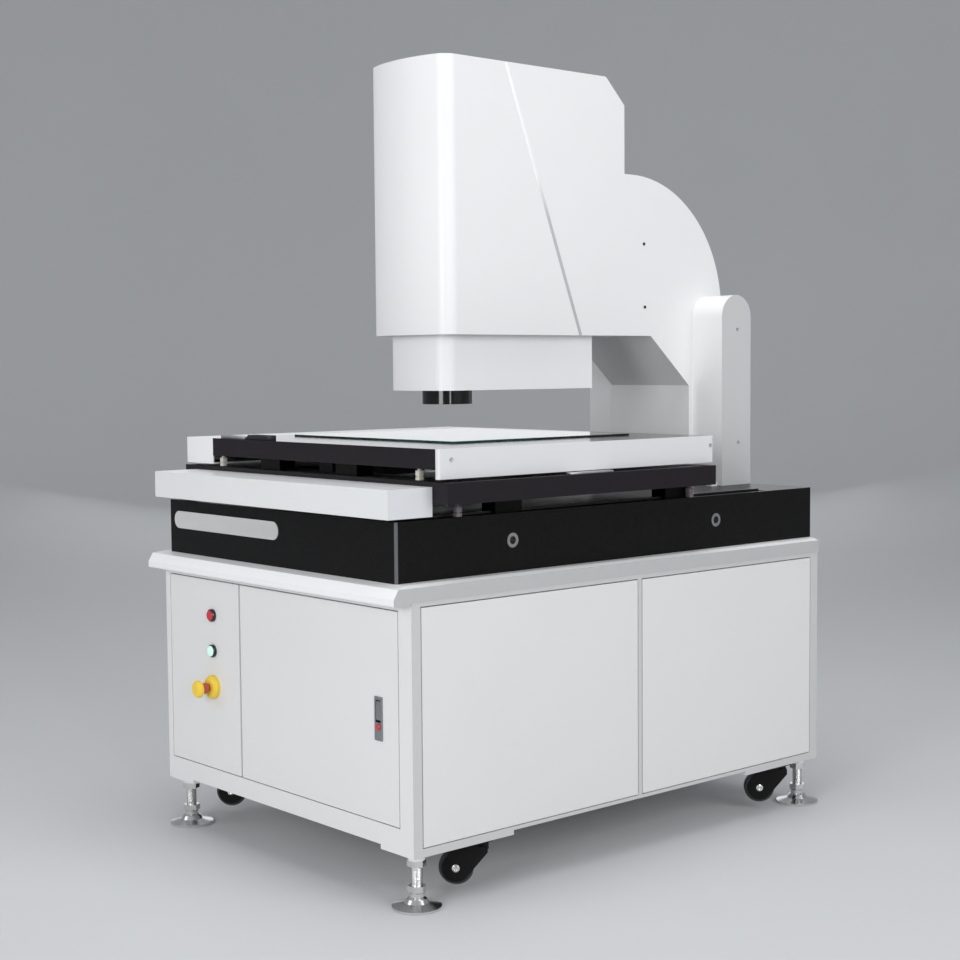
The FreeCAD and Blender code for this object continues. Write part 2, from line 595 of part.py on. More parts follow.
# Casters
def caster_plates():
    plates = []
    for name, side, end in CORNERS:
        x = f"{side} * caster_x"
        y = f"caster_{end}_y"
        plate = box(f"caster_plate_{name}",
                    (f"{x} - caster_plate_width / 2", f"{x} + caster_plate_width / 2"),
                    (f"{y} - caster_plate_length / 2", f"{y} + caster_plate_length / 2"),
                    ("swivel_top", "pad_bottom"))
        race = rod(f"caster_race_{name}", "z", "swivel_radius", (x, y, "fork_top + 0.4"),
                   "swivel_height - 0.4")
        kingpin = rod(f"kingpin_{name}", "z", "axle_radius", (x, y, "fork_top - 6.5"), 12)
        plates.append(fuse(f"caster_top_{name}", plate, race, kingpin))
    return group("caster_top_set", *plates)


def under_pivot(piece, side, end):
    """Hang a piece that is drawn round the swivel's axis under its plate, turned as the casters stand."""
    piece.Placement = FreeCAD.Placement(Vector(), FreeCAD.Rotation(Vector(0, 0, 1), 1))
    bind(piece, "Placement.Rotation.Angle", "caster_turn")
    return place(piece, f"{side} * caster_x", f"caster_{end}_y", 0)


def caster_fork(name, side, end):
    outer = "wheel_width / 2 + fork_gap + fork_wall"
    crown = rod(f"fork_crown_{name}", "z", "swivel_radius - 1", (0, 0, "fork_top - 6"), 6)
    # a side of the fork: a round plate about the axle, wider at its top
    outline = [("-wheel_trail - fork_round", "axle_z", "fork_round"),
               ("-wheel_trail", "axle_z - fork_round", "fork_round"),
               ("0.8 * fork_round - wheel_trail", "axle_z - 0.6 * fork_round"),
               (38, "fork_top - 12"), (38, "fork_top"), (-40, "fork_top"), (-44, "fork_top - 12")]
    legs = []
    for leg in (1, -1):
        low, high = across(leg, "wheel_width / 2 + fork_gap", outer)
        legs.append(prism(f"fork_leg_{name}_{leg + 1}", "x", low, high, outline))
    axle = rod(f"caster_axle_{name}", "x", "axle_radius",
               (f"-({outer}) - 3", "-wheel_trail", "axle_z"), f"2 * ({outer}) + 6")
    hood = box(f"fork_bridge_{name}", (f"-({outer})", outer), (-40, 38), ("fork_top - 6", "fork_top"))
    joined = fuse(f"fork_joined_{name}", crown, hood, axle, *legs)
    bore = rod(f"kingpin_bore_{name}", "z", "axle_radius + running_gap", (0, 0, "fork_top - 6"), 6)
    return under_pivot(cut(f"fork_cut_{name}", joined, bore), side, end)


def caster_wheel(name, side, end):
    half = "wheel_width / 2"
    outline = [("axle_radius + running_gap", f"-({half})"), (16, f"-({half})"), (18, f"2 - {half}"),
               ("wheel_radius - 9", f"2 - {half}"), ("wheel_radius - 7", f"-({half})"),
               ("wheel_radius - 3", f"-({half})"), ("wheel_radius", f"4 - {half}"),
               ("wheel_radius", f"{half} - 4"), ("wheel_radius - 3", half),
               ("wheel_radius - 7", half), ("wheel_radius - 9", f"{half} - 2"),
               (18, f"{half} - 2"), (16, half), ("axle_radius + running_gap", half)]
    wheel = turned(f"wheel_turned_{name}", outline, "x", 0, "-wheel_trail", "axle_z")
    return under_pivot(group(f"wheel_hung_{name}", wheel), side, end)


# Tray, granite and what is let into it
def top_tray():
    front = "cabinet_front - tray_front"
    rear = "cabinet_rear + tray_rear"
    half = "cabinet_half + tray_side"
    # seen from the side: a lip that hangs a little in front of the cabinet, and a slope up to the granite
    long_profile = [(f"{front} + tray_lip_round", "tray_lip_z"), ("cabinet_front - tray_lip_gap", "tray_lip_z"),
                    ("cabinet_front - tray_lip_gap", "cabinet_top"), (rear, "cabinet_top"),
                    (rear, "granite_bottom"), ("granite_front", "granite_bottom"),
                    (f"{front} + tray_nose", "cabinet_top + tray_nose_height"),
                    (front, "cabinet_top + tray_lip"),
                    (front, "tray_lip_z + tray_lip_round", "tray_lip_round")]
    cross_profile = [(f"-({half})", "tray_lip_z"), (half, "tray_lip_z"),
                     (half, "granite_bottom - tray_bevel"), (f"{half} - 3 * tray_bevel", "granite_bottom"),
                     (f"3 * tray_bevel - ({half})", "granite_bottom"),
                     (f"-({half})", "granite_bottom - tray_bevel")]
    blank = common("tray_blank", prism("tray_long", "x", f"-({half})", half, long_profile),
                   prism("tray_cross", "y", front, rear, cross_profile))
    pockets = []
    for along in range(4):
        start = ("cabinet_front + frame_bar + 30" if along == 0 else
                 f"cabinet_middle + {along - 2} * beam_pitch + beam_width / 2")
        end = ("cabinet_rear - frame_bar - 30" if along == 3 else
               f"cabinet_middle + {along - 1} * beam_pitch - beam_width / 2")
        pockets.append(box(f"tray_pocket_{along}", ("frame_bar + 10 - cabinet_half", "cabinet_half - frame_bar - 10"),
                           (start, end), ("cabinet_top", "granite_bottom - tray_sheet")))
    return cut("tray_cut", blank, *pockets)


def granite_base():
    outline = [("granite_chamfer - granite_half", "granite_front"),
               ("granite_half - granite_chamfer", "granite_front"),
               ("granite_half", "granite_front + granite_chamfer"),
               ("granite_half", "granite_rear - granite_chamfer"),
               ("granite_half - granite_chamfer", "granite_rear"),
               ("granite_chamfer - granite_half", "granite_rear"),
               ("-granite_half", "granite_rear - granite_chamfer"),
               ("-granite_half", "granite_front + granite_chamfer")]
    blank = prism("granite_blank", "z", "granite_bottom", "granite_top", outline)
    tools = []
    for side in (1, -1):
        tools.append(box(f"y_groove_{side + 1}",
                         (f"{side} * y_rail_x - groove_width / 2", f"{side} * y_rail_x + groove_width / 2"),
                         ("y_groove_front", "y_groove_rear"), ("y_rail_z", "granite_top")))
        for word in ("front", "rear"):
            start = "granite_half - insert_length" if side > 0 else "-granite_half"
            tools.append(rod(f"insert_hole_{side + 1}_{word}", "x", "insert_radius",
                             (start, f"insert_{word}", "insert_z"), "insert_length"))
    half = "motor_size / 2 + motor_pocket_margin"
    tools.append(box("motor_pocket", (f"y_screw_x - ({half})", f"y_screw_x + {half}"),
                     ("motor_face_y - 1", "granite_rear"),
                     ("granite_top - motor_pocket_depth", "granite_top")))
    return cut("granite_cut", blank, *tools)


def lifting_inserts():
    inserts = []
    for side in (1, -1):
        for word in ("front", "rear"):
            start = "granite_half - insert_length" if side > 0 else "-granite_half"
            mouth = "granite_half - insert_length + 5" if side > 0 else "-granite_half"
            tube = rod(f"insert_tube_{side + 1}_{word}", "x", "insert_radius",
                       (start, f"insert_{word}", "insert_z"), "insert_length")
            bore = rod(f"insert_bore_{side + 1}_{word}", "x", "insert_bore",
                       (mouth, f"insert_{word}", "insert_z"), "insert_length - 5")
            inserts.append(cut(f"insert_{side + 1}_{word}", tube, bore))
    return group("insert_set", *inserts)


# Guide rails and carriages. A rail's section is drawn across (u) and up from its base (v).
def rail_outline(across_at, base, up="+"):
    half = "rail_width / 2"
    steps = [(f"({half})", 0), (f"({half})", "rail_height * 0.3"),
             (f"({half} - rail_waist)", "rail_height * 0.45"),
             (f"({half} - rail_waist)", "rail_height * 0.6"), (f"({half})", "rail_height * 0.75"),
             (f"({half})", "rail_height")]
    right = [(f"{across_at} + {u}", f"{base} {up} {v}") for u, v in steps]
    left = [(f"{across_at} - {u}", f"{base} {up} {v}") for u, v in reversed(steps)]
    outline = right + left
    return outline if up == "+" else outline[::-1]


def carriage(name, along, across_at, centre, base, top):
    """A carriage that straddles its rail, from its foot up to the stage that it carries."""
    wide = (f"{across_at} - block_width / 2", f"{across_at} + block_width / 2")
    long = (f"{centre} - block_length / 2", f"{centre} + block_length / 2")
    slot = (f"{across_at} - rail_width / 2 - rail_gap", f"{across_at} + rail_width / 2 + rail_gap")
    heights = (f"{base} + block_foot", top)
    slot_heights = (f"{base} + block_foot", f"{base} + rail_height + rail_gap")
    if along == "x":
        return cut(name, box(f"{name}_block", long, wide, heights),
                   box(f"{name}_slot", long, slot, slot_heights))
    return cut(name, box(f"{name}_block", wide, long, heights),
               box(f"{name}_slot", slot, long, slot_heights))


def guide_rails():
    """The two Y rails on the granite and the two Z rails on the upright plate."""
    rails = []
    for side in (1, -1):
        x = f"{side} * y_rail_x"
        rails.append(prism(f"y_rail_{side + 1}", "y", "y_groove_front + rail_end_gap",
                           "y_groove_rear - rail_end_gap", rail_outline(x, "y_rail_z")))
        rails.append(prism(f"z_rail_{side + 1}", "z", "z_plate_bottom + 2", "z_rail_top",
                           rail_outline(f"{side} * z_rail_x", "z_plate_front", "-")))
    return group("rail_set", *rails)


def y_screw_supports():
    supports = []
    for word in ("front", "rear"):
        start = f"y_support_{word}"
        end = f"{start} + y_support_thick" if word == "front" else "motor_face_y"
        block = box(f"y_support_block_{word}",
                    ("y_screw_x - support_width / 2", "y_screw_x + support_width / 2"), (start, end),
                    ("granite_top", "granite_top + support_top"))
        bore = rod(f"y_support_bore_{word}", "y", "screw_radius + running_gap",
                   ("y_screw_x", start, "y_screw_z"), f"{end} - ({start})")
        supports.append(cut(f"y_support_{word}_cut", block, bore))
    return group("y_support_set", *supports)


def motor_outline(u, v, size):
    half = f"{size} / 2"
    near = f"({half} - motor_chamfer)"
    return [(f"{u} - {near}", f"{v} - {half}"), (f"{u} + {near}", f"{v} - {half}"),
            (f"{u} + {half}", f"{v} - {near}"), (f"{u} + {half}", f"{v} + {near}"),
            (f"{u} + {near}", f"{v} + {half}"), (f"{u} - {near}", f"{v} + {half}"),
            (f"{u} - {half}", f"{v} + {near}"), (f"{u} - {half}", f"{v} - {near}")]


def drive_motors():
    y_motor = prism("y_motor", "y", "motor_face_y", "motor_face_y + motor_length",
                    motor_outline("y_screw_x", "y_screw_z", "motor_size"))
    z_motor = prism("z_motor", "z", "z_plate_top", "z_plate_top + motor_length",
                    motor_outline("0", "z_screw_y", "motor_size"))
    return group("motor_pair", y_motor, z_motor)


def backlight():
    outline = [(0, 0), ("backlight_radius", 0), ("backlight_radius", "backlight_height - 4"),
               ("backlight_radius - 4", "backlight_height"), ("backlight_window", "backlight_height"),
               ("backlight_window", "backlight_height - 3"), (0, "backlight_height - 3")]
    return turned("backlight_turned", outline, "z", 0, "lens_y", "granite_top")


# Lower stage, which travels along Y
def lower_stage():
    blank = box("lower_blank", ("-lower_half", "lower_half"), ("lower_front", "lower_rear"),
                ("lower_bottom", "lower_top"))
    tools = [box("lower_window", ("-lower_open_half", "lower_open_half"),
                 ("lower_open_front", "lower_open_rear"), ("lower_bottom", "lower_top"))]
    for word in ("front", "rear"):
        tools.append(box(f"x_groove_{word}", ("-x_groove_half", "x_groove_half"),
                         (f"x_rail_{word} - groove_width / 2", f"x_rail_{word} + groove_width / 2"),
                         ("x_rail_z", "lower_top")))
    plate = cut("lower_plate", blank, *tools)
    nut = box("x_nut_block", ("-nut_length / 2", "nut_length / 2"),
              ("x_screw_y - x_nut_width / 2", "x_screw_y + x_nut_width / 2"),
              ("lower_top", "x_screw_z + x_nut_top_gap"))
    bore = rod("x_nut_bore", "x", "screw_radius + running_gap",
               ("-nut_length / 2", "x_screw_y", "x_screw_z"), "nut_length")
    return fuse("lower_joined", plate, cut("x_nut", nut, bore))


def lower_front_cover():
    """A folded cover over the front end of the stage, open below and at the back."""
    bottom = "granite_top + cover_rise"
    top = f"{bottom} + cover_height"
    front = "lower_front - cover_length"
    outer = box("front_cover_outer", ("-cover_half", "cover_half"), (front, "lower_front"), (bottom, top))
    inner = box("front_cover_inner", ("cover_sheet - cover_half", "cover_half - cover_sheet"),
                (f"{front} + cover_sheet", "lower_front"), (bottom, f"{top} - cover_sheet"))
    return cut("front_cover_cut", outer, inner)


def y_carriages():
    pieces = []
    for side in (1, -1):
        for word in ("front", "rear"):
            pieces.append(carriage(f"y_carriage_{side + 1}_{word}", "y", f"{side} * y_rail_x",
                                   f"y_block_{word}", "y_rail_z", "lower_bottom"))
    nut = box("y_nut_block", ("y_screw_x - support_width / 2", "y_screw_x + support_width / 2"),
              ("y_nut_y - nut_length / 2", "y_nut_y + nut_length / 2"),
              ("granite_top + 2", "lower_bottom"))
    bore = rod("y_nut_bore", "y", "screw_radius + running_gap",
               ("y_screw_x", "y_nut_y - nut_length / 2", "y_screw_z"), "nut_length")
    pieces.append(cut("y_nut", nut, bore))
    return group("y_carriage_set", *pieces)


def x_rails():
    rails = [prism(f"x_rail_{word}_bar", "x", "rail_end_gap - x_groove_half",
                   "x_groove_half - rail_end_gap", rail_outline(f"x_rail_{word}", "x_rail_z"))
             for word in ("front", "rear")]
    return group("x_rail_pair", *rails)


# Upper stage, which travels along X and carries the glass
def upper_stage():
    blank = box("upper_blank", ("upper_left", "upper_right"), ("upper_front", "upper_rear"),
                ("upper_bottom", "upper_top"))
    window = box("upper_window", ("glass_land - glass_half", "glass_half - glass_land"),
                 ("glass_front + glass_land", "glass_rear - glass_land"), ("upper_bottom", "upper_top"))
    rebate = box("glass_seat", ("-glass_half - glass_gap", "glass_half + glass_gap"),
                 ("glass_front - glass_gap", "glass_rear + glass_gap"), ("glass_bottom", "upper_top"))
    channel = box("x_channel", ("upper_left + x_channel_left_wall", "x_channel_right"),
                  ("x_screw_y - x_channel_width / 2", "x_screw_y + x_channel_width / 2"),
                  ("upper_bottom", "upper_top - x_channel_top_gap"))
    bore = rod("x_screw_bore", "x", "screw_radius + running_gap",
               ("upper_left", "x_screw_y", "x_screw_z"), "x_channel_right + 20 - upper_left")
    return cut("upper_cut", blank, window, rebate, channel, bore)


def x_carriages():
    blocks = [carriage(f"x_carriage_{side + 1}_{word}", "x", f"x_rail_{word}", f"{side} * x_block_x",
                       "x_rail_z", "upper_bottom")
              for side in (1, -1) for word in ("front", "rear")]
    return group("x_carriage_set", *blocks)


def left_drive_cover():
    left = "upper_left - left_box_width"
    outer = box("left_box_outer", (left, "upper_left"), ("upper_front", "upper_rear"),
                ("side_bottom", "upper_top"))
    inner = box("left_box_inner", (f"{left} + cover_sheet", "upper_left"),
                ("upper_front + cover_sheet", "upper_rear - cover_sheet"),
                ("side_bottom + cover_sheet", "upper_top - cover_sheet"))
    return cut("left_box_cut", outer, inner)


def right_side_cover():
    """The long white bar on the right flank, with its outer upright edges rounded."""
    outer = "upper_right + right_bar_width"
    outline = [("upper_right", "upper_front"), (f"{outer} - bar_round", "upper_front", "bar_round"),
               (outer, "upper_front + bar_round"), (outer, "upper_rear - bar_round", "bar_round"),
               (f"{outer} - bar_round", "upper_rear"), ("upper_right", "upper_rear")]
    return prism("right_bar", "z", "side_bottom", "upper_top", outline)


def small_motor():
    return prism("x_motor_body", "x", "upper_left - small_motor_length", "upper_left",
                 motor_outline("x_screw_y", "x_screw_z", "small_motor_size"))


# Column and arm: a cast core inside a folded cover, with the hump as a quarter of a circle
def column_core():
    inset = "(cover_wall + core_gap)"
    side = f"(column_rear - {inset})"
    top = f"(hump_top - {inset})"
    outline = [(f"column_front + {inset}", "granite_top"), (side, "granite_top"),
               (side, "hump_centre_z", f"hump_radius - {inset}"),
               ("hump_centre_y", top), (0, top), (0, "core_nose_z"), ("core_arm_front", "core_nose_z"),
               ("core_arm_front", "head_bottom + 12"),
               ("arm_slope_y + 9", "head_bottom + 12"), (f"column_front + {inset}", "arm_knee_z + 11")]
    return prism("column_core_body", "x", "-core_half", "core_half", outline)


def arm_outline(wall, front_low, front_top):
    """The arm and column from the side, drawn in by a wall, with a chosen front end."""
    wall = f"({wall})"
    # how far a corner moves along a face when both of its faces are drawn in
    knee = f"arm_knee_z + {wall} * (slope_length - slope_rate)"
    turn = f"arm_slope_y + {wall} * (slope_length - 1) / slope_rate"
    nook = f"{wall} * (sqrt(2) - 1)"
    return [(front_low, f"head_bottom + {wall}"), (turn, f"head_bottom + {wall}"),
            (f"column_front + {wall}", knee), (f"column_front + {wall}", "granite_top"),
            (f"column_rear - {wall}", "granite_top"),
            (f"column_rear - {wall}", "hump_centre_z", f"hump_radius - {wall}"),
            ("hump_centre_y", f"hump_top - {wall}"), (f"head_back_y - {wall}", f"hump_top - {wall}"),
            (f"head_back_y - {wall}", f"head_top - roof_chamfer - {nook}"),
            (f"roof_rear_y - {nook}", f"head_top - {wall}"), (front_top, f"head_top - {wall}")]


def seam_at(height, shift):
    return f"seam_low_y - ({height} - head_bottom) * seam_lean + ({shift})"


def seam_slab(name, low_shift, high_shift):
    """A slanting slab that follows the seam between the head cover and the arm cover."""
    low = "head_bottom - 20"
    top = "head_top + 20"
    outline = [(seam_at(low, low_shift), low), (seam_at(low, high_shift), low),
               (seam_at(top, high_shift), top), (seam_at(top, low_shift), top)]
    return prism(name, "x", "-arm_half - 20", "arm_half + 20", outline)


def arm_shell(name, outset, wall, front_shift):
    """A hollow shell of the arm's section between two insets, cut off parallel to the seam."""
    ends = (seam_at("head_bottom", front_shift), seam_at("head_top", front_shift))
    far = [f"{text} - 60" for text in ends]
    outer = prism(f"{name}_outer", "x", f"{outset} - arm_half", f"arm_half - {outset}",
                  arm_outline(outset, *ends))
    inner = prism(f"{name}_inner", "x", f"{outset} + {wall} - arm_half",
                  f"arm_half - {outset} - {wall}", arm_outline(f"{outset} + {wall}", *far))
    return cut(name, outer, inner)


def column_cover():
    shell = arm_shell("arm_cover_shell", "0", "cover_wall", "0")
    band = common("seam_band", arm_shell("seam_band_shell", "cover_wall", "cover_wall", "-60"),
                  seam_slab("seam_band_slab", "-seam_flange - seam_gap", "seam_flange"))
    opening = box("sleeve_opening", ("-box_door_half", "box_door_half"),
                  (f"{seam_at('head_bottom', 0)} - 60", "box_door_rear"),
                  ("head_bottom - 5", "head_bottom + 5 * cover_wall"))
    return cut("arm_cover_cut", fuse("arm_cover_joined", shell, band), opening)


def bowed_outline(half, nose, corner_radius, bow, rear, inset=0):
    """The head's plan: straight sides, round corners and a gently bowed front."""
    reach = f"({bow} - {corner_radius})"
    centre_y = f"({nose} + {bow})"
    corner_x = f"({half} - {corner_radius})"
    corner_y = f"({centre_y} - sqrt({reach} ^ 2 - {corner_x} ^ 2))"
    # where a round corner meets the bow
    joint_x = f"({corner_x} * ({bow} - {inset}) / {reach})"
    joint_y = f"({centre_y} - ({centre_y} - {corner_y}) * ({bow} - {inset}) / {reach})"
    side = f"({half} - {inset})"
    return [(f"-{side}", rear), (f"-{side}", corner_y, f"{corner_radius} - {inset}"),
            (f"-{joint_x}", joint_y, f"{bow} - {inset}"),
            (joint_x, joint_y, f"{corner_radius} - {inset}"), (side, corner_y), (side, rear)]


def head_cover():
    rear = f"{seam_at('head_bottom', 0)} + 20"
    outer = prism("head_outer", "z", "head_bottom", "head_top",
                  bowed_outline("arm_half", "head_nose", "head_corner", "head_bow", rear))
    inner = prism("head_inner", "z", "head_bottom - 1", "head_top - cover_wall",
                  bowed_outline("arm_half", "head_nose", "head_corner", "head_bow", f"{rear} + 1",
                                "cover_wall"))
    behind = seam_slab("head_cutter", "-seam_gap", "400")
    return cut("head_cover_cut", outer, inner, behind)


def side_posts():
    half = "post_depth / 2"
    front = "column_rear - post_depth"
    turn = f"post_top_z - {half}"
    outline = [(front, "granite_top"), ("column_rear", "granite_top"), ("column_rear", turn, half),
               (f"column_rear - {half}", "post_top_z", half), (front, turn)]
    posts = [prism(f"post_{side + 1}", "x", *across(side, "arm_half", "arm_half + post_width"), outline)
             for side in (1, -1)]
    return group("post_pair", *posts)


# Camera axis
def z_plate():
    plate = box("z_plate_blank", ("-z_plate_half", "z_plate_half"), ("z_plate_front", 0),
                ("z_plate_bottom", "z_plate_top"))
    shelf_front = "z_screw_y - motor_size / 2"
    shelf = box("z_shelf", ("-motor_size / 2", "motor_size / 2"), (shelf_front, "z_plate_front"),
                ("z_plate_top - z_shelf_thick", "z_plate_top"))
    foot = box("z_foot_bearing", ("-z_nut_half", "z_nut_half"), ("saddle_rear + 2", "z_plate_front"),
               ("z_plate_bottom", "z_plate_bottom + 25"))
    bore = rod("z_bearing_bore", "z", "screw_radius + running_gap", (0, "z_screw_y", "z_plate_bottom"),
               "z_plate_top - z_plate_bottom")
    return cut("z_plate_cut", fuse("z_plate_joined", plate, shelf, foot), bore)


def z_saddle():
    plate = box("saddle_plate", ("-saddle_half", "saddle_half"), ("saddle_front", "saddle_rear"),
                ("box_bottom + box_wall", "saddle_top"))
    pieces = [plate]
    for side in (1, -1):
        x = f"{side} * z_rail_x"
        for word in ("low", "high"):
            centre = f"z_block_{word}"
            height = (f"{centre} - block_length / 2", f"{centre} + block_length / 2")
            block = box(f"z_block_{side + 1}_{word}",
                        (f"{x} - block_width / 2", f"{x} + block_width / 2"),
                        ("saddle_rear", "z_plate_front - block_foot"), height)
            slot = box(f"z_slot_{side + 1}_{word}",
                       (f"{x} - rail_width / 2 - rail_gap", f"{x} + rail_width / 2 + rail_gap"),
                       ("z_plate_front - rail_height - rail_gap", "z_plate_front - block_foot"), height)
            pieces.append(cut(f"z_carriage_{side + 1}_{word}", block, slot))
    nut = box("z_nut_block", ("-z_nut_half", "z_nut_half"), ("saddle_rear", "z_plate_front - 4"),
              ("z_nut_z - z_nut_height / 2", "z_nut_z + z_nut_height / 2"))
    bore = rod("z_nut_bore", "z", "screw_radius + running_gap",
               (0, "z_screw_y", "z_nut_z - z_nut_height / 2"), "z_nut_height")
    return cut("saddle_cut", fuse("saddle_joined", *pieces, nut), bore)


def z_box():
    """The sleeve round the camera axis: bowed like the head, open at the top, with a lens hole below."""
    shape = ("box_half", "box_nose", "box_corner", "head_bow")
    outer = prism("sleeve_outer", "z", "box_bottom", "box_top", bowed_outline(*shape, "box_rear"))
    inner = prism("sleeve_inner", "z", "box_bottom + box_wall", "box_top + 1",
                  bowed_outline(*shape, "box_rear - box_wall", "box_wall"))
    hole = rod("lens_hole", "z", "lens_hole_radius", (0, "lens_y", "box_bottom"), "box_wall")
    return cut("sleeve_cut", outer, inner, hole)


def zoom_lens():
    outline = [(0, "lens_bottom"), ("lens_front_radius", "lens_bottom"),
               ("lens_radius", "lens_bottom + 8"), ("lens_radius", "lens_top - 30"),
               ("lens_front_radius - 6", "lens_top - 18"), ("lens_front_radius - 6", "lens_top"),
               (0, "lens_top")]
    tube = turned("lens_tube", outline, "z", 0, "lens_y", 0)
    bracket = box("lens_bracket", ("-bracket_half", "bracket_half"), ("lens_y", "saddle_front"),
                  ("bracket_bottom", "bracket_bottom + bracket_height"))
    return fuse("lens_joined", tube, bracket)


def ring_light():
    top = "ring_bottom + ring_height"
    outline = [("lens_radius", "ring_bottom + 22"), ("lens_radius + 10", "ring_bottom + 8"),
               ("ring_radius - 6", "ring_bottom"), ("ring_radius", "ring_bottom"),
               ("ring_radius", f"{top} - 6"), ("ring_radius - 6", top), ("lens_radius", top)]
    return turned("ring_light_turned", outline, "z", 0, "lens_y", 0)


def camera():
    half = "camera_size / 2"
    body = box("camera_body", (f"-({half})", half), (f"lens_y - {half}", f"lens_y + {half}"),
               ("lens_top", "lens_top + camera_height"))
    plug = rod("camera_socket", "z", 8, (0, "lens_y", "lens_top + camera_height"), 10)
    return fuse("camera_joined", body, plug)


# Inside and behind the cabinet
def control_units():
    floor = "cabinet_bottom + floor_sheet"
    controller = box("controller_box", ("-controller_width", 0),
                     ("cabinet_middle + 160", "cabinet_middle + 160 + controller_depth"),
                     (floor, f"{floor} + controller_height"))
    computer = box("computer_box", ("140", "140 + computer_width"),
                   ("cabinet_middle - computer_depth / 2", "cabinet_middle + computer_depth / 2"),
                   (floor, f"{floor} + computer_height"))
    return group("control_unit_pair", controller, computer)


def power_inlet():
    half_width = "inlet_width / 2"
    half_height = "inlet_height / 2"
    body = box("inlet_body", (f"inlet_x - {half_width}", f"inlet_x + {half_width}"),
               ("cabinet_rear - inlet_depth", "cabinet_rear"),
               (f"inlet_z - {half_height}", f"inlet_z + {half_height}"))
    flange = box("inlet_front", (f"inlet_x - {half_width} - 8", f"inlet_x + {half_width} + 8"),
                 ("cabinet_rear", "cabinet_rear + inlet_flange"),
                 (f"inlet_z - {half_height} - 5", f"inlet_z + {half_height} + 5"))
    socket = box("inlet_socket", (f"inlet_x - {half_width} + 10", f"inlet_x + {half_width} - 10"),
                 ("cabinet_rear - inlet_depth + 8", "cabinet_rear + inlet_flange"),
                 (f"inlet_z - {half_height} + 6", f"inlet_z + {half_height} - 6"))
    return cut("inlet_cut", fuse("inlet_joined", body, flange), socket)


# The assembly
node("cabinet_frame", cabinet_frame())
node("side_panels", side_panels())
node("rear_panel", rear_panel())
node("control_panel", control_panel())
node("front_door", front_door())
node("door_hinge_pins", hinge_pins())
node("door_lock_body", lock_body())
node("door_lock_handle", lock_handle())
node("door_lock_button", lock_button())
node("red_button", push_button("red_button_turned", "red_button_z"))
node("green_button", push_button("green_button_turned", "green_button_z"))
node("button_bezels", group("bezel_pair", button_bezel("red_bezel", "red_button_z"),
                            button_bezel("green_bezel", "green_button_z")))
node("emergency_stop_base", stop_base())
node("emergency_stop_knob", stop_knob())
for name, side, end in CORNERS:
    node(f"foot_{name}", levelling_foot(name, side, end))
    node(f"caster_fork_{name}", caster_fork(name, side, end))
    node(f"caster_wheel_{name}", caster_wheel(name, side, end))
node("foot_lock_nuts", foot_lock_nuts())
node("caster_plates", caster_plates())
node("control_units", control_units())
node("power_inlet", power_inlet())
node("top_tray", top_tray())
node("granite_base", granite_base())
node("lifting_inserts", lifting_inserts())
node("guide_rails", guide_rails())
node("y_screw_supports", y_screw_supports())
node("y_screw", rod("y_screw_rod", "y", "screw_radius", ("y_screw_x", "y_support_front + 2", "y_screw_z"),
                    "motor_face_y - 1 - (y_support_front + 2)"))
node("drive_motors", drive_motors())
node("backlight", backlight())
node("lower_stage", lower_stage())
node("lower_front_cover", lower_front_cover())
node("y_carriages", y_carriages())
node("x_rails", x_rails())
node("upper_stage", upper_stage())
node("x_carriages", x_carriages())
node("x_screw", rod("x_screw_rod", "x", "screw_radius", ("upper_left + 1", "x_screw_y", "x_screw_z"),
                    "x_channel_right + 18 - upper_left"))
node("x_motor", small_motor())
node("stage_glass", box("glass_plate", ("-glass_half", "glass_half"), ("glass_front", "glass_rear"),
                        ("glass_bottom", "glass_bottom + glass_thick")))
node("left_drive_cover", left_drive_cover())
node("right_side_cover", right_side_cover())
node("column_core", column_core())
node("column_cover", column_cover())
node("side_posts", side_posts())
node("head_cover", head_cover())
node("z_plate", z_plate())
node("z_screw", rod("z_screw_rod", "z", "screw_radius", (0, "z_screw_y", "z_plate_bottom + 2"),
                    "z_plate_top - 1 - (z_plate_bottom + 2)"))
node("z_saddle", z_saddle())
node("z_box", z_box())
node("zoom_lens", zoom_lens())
node("camera", camera())
node("ring_light", ring_light())

doc.recompute()
failed = [item.Name for item in doc.Objects if "Invalid" in item.State or "Error" in item.State]
if failed:
    raise RuntimeError(f"these objects did not build: {failed}")
for piece in NODES:
    if piece.Shape.isNull() or not piece.Shape.isValid() or piece.Shape.Volume <= 0:
        raise RuntimeError(f"{piece.Label} has no valid shape")

os.makedirs("parts", exist_ok=True)
for piece in NODES:
    piece.Shape.exportStep(f"parts/{piece.Label}.step")
whole = Part.makeCompound([piece.Shape for piece in NODES]).BoundBox
print(f"{len(NODES)} nodes, X {whole.XMin:.1f} to {whole.XMax:.1f}, Y {whole.YMin:.1f} to "
      f"{whole.YMax:.1f}, Z {whole.ZMin:.1f} to {whole.ZMax:.1f}")
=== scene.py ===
# %% [markdown]
# A vision measuring machine looks at a workpiece through a camera and reads its size from the picture.
# The steel cabinet carries a granite slab, because granite hardly moves with warmth. On the slab a lower
# stage travels to and fro, an upper stage with a glass plate travels across it, and a fixed column holds
# the camera head above the glass. The engineering model has all of these at their real size, so this file
# gives them their finish and adds the small things that catch the eye.

# %% Load the machine
import math
import bpy
from mathutils import Matrix, Vector


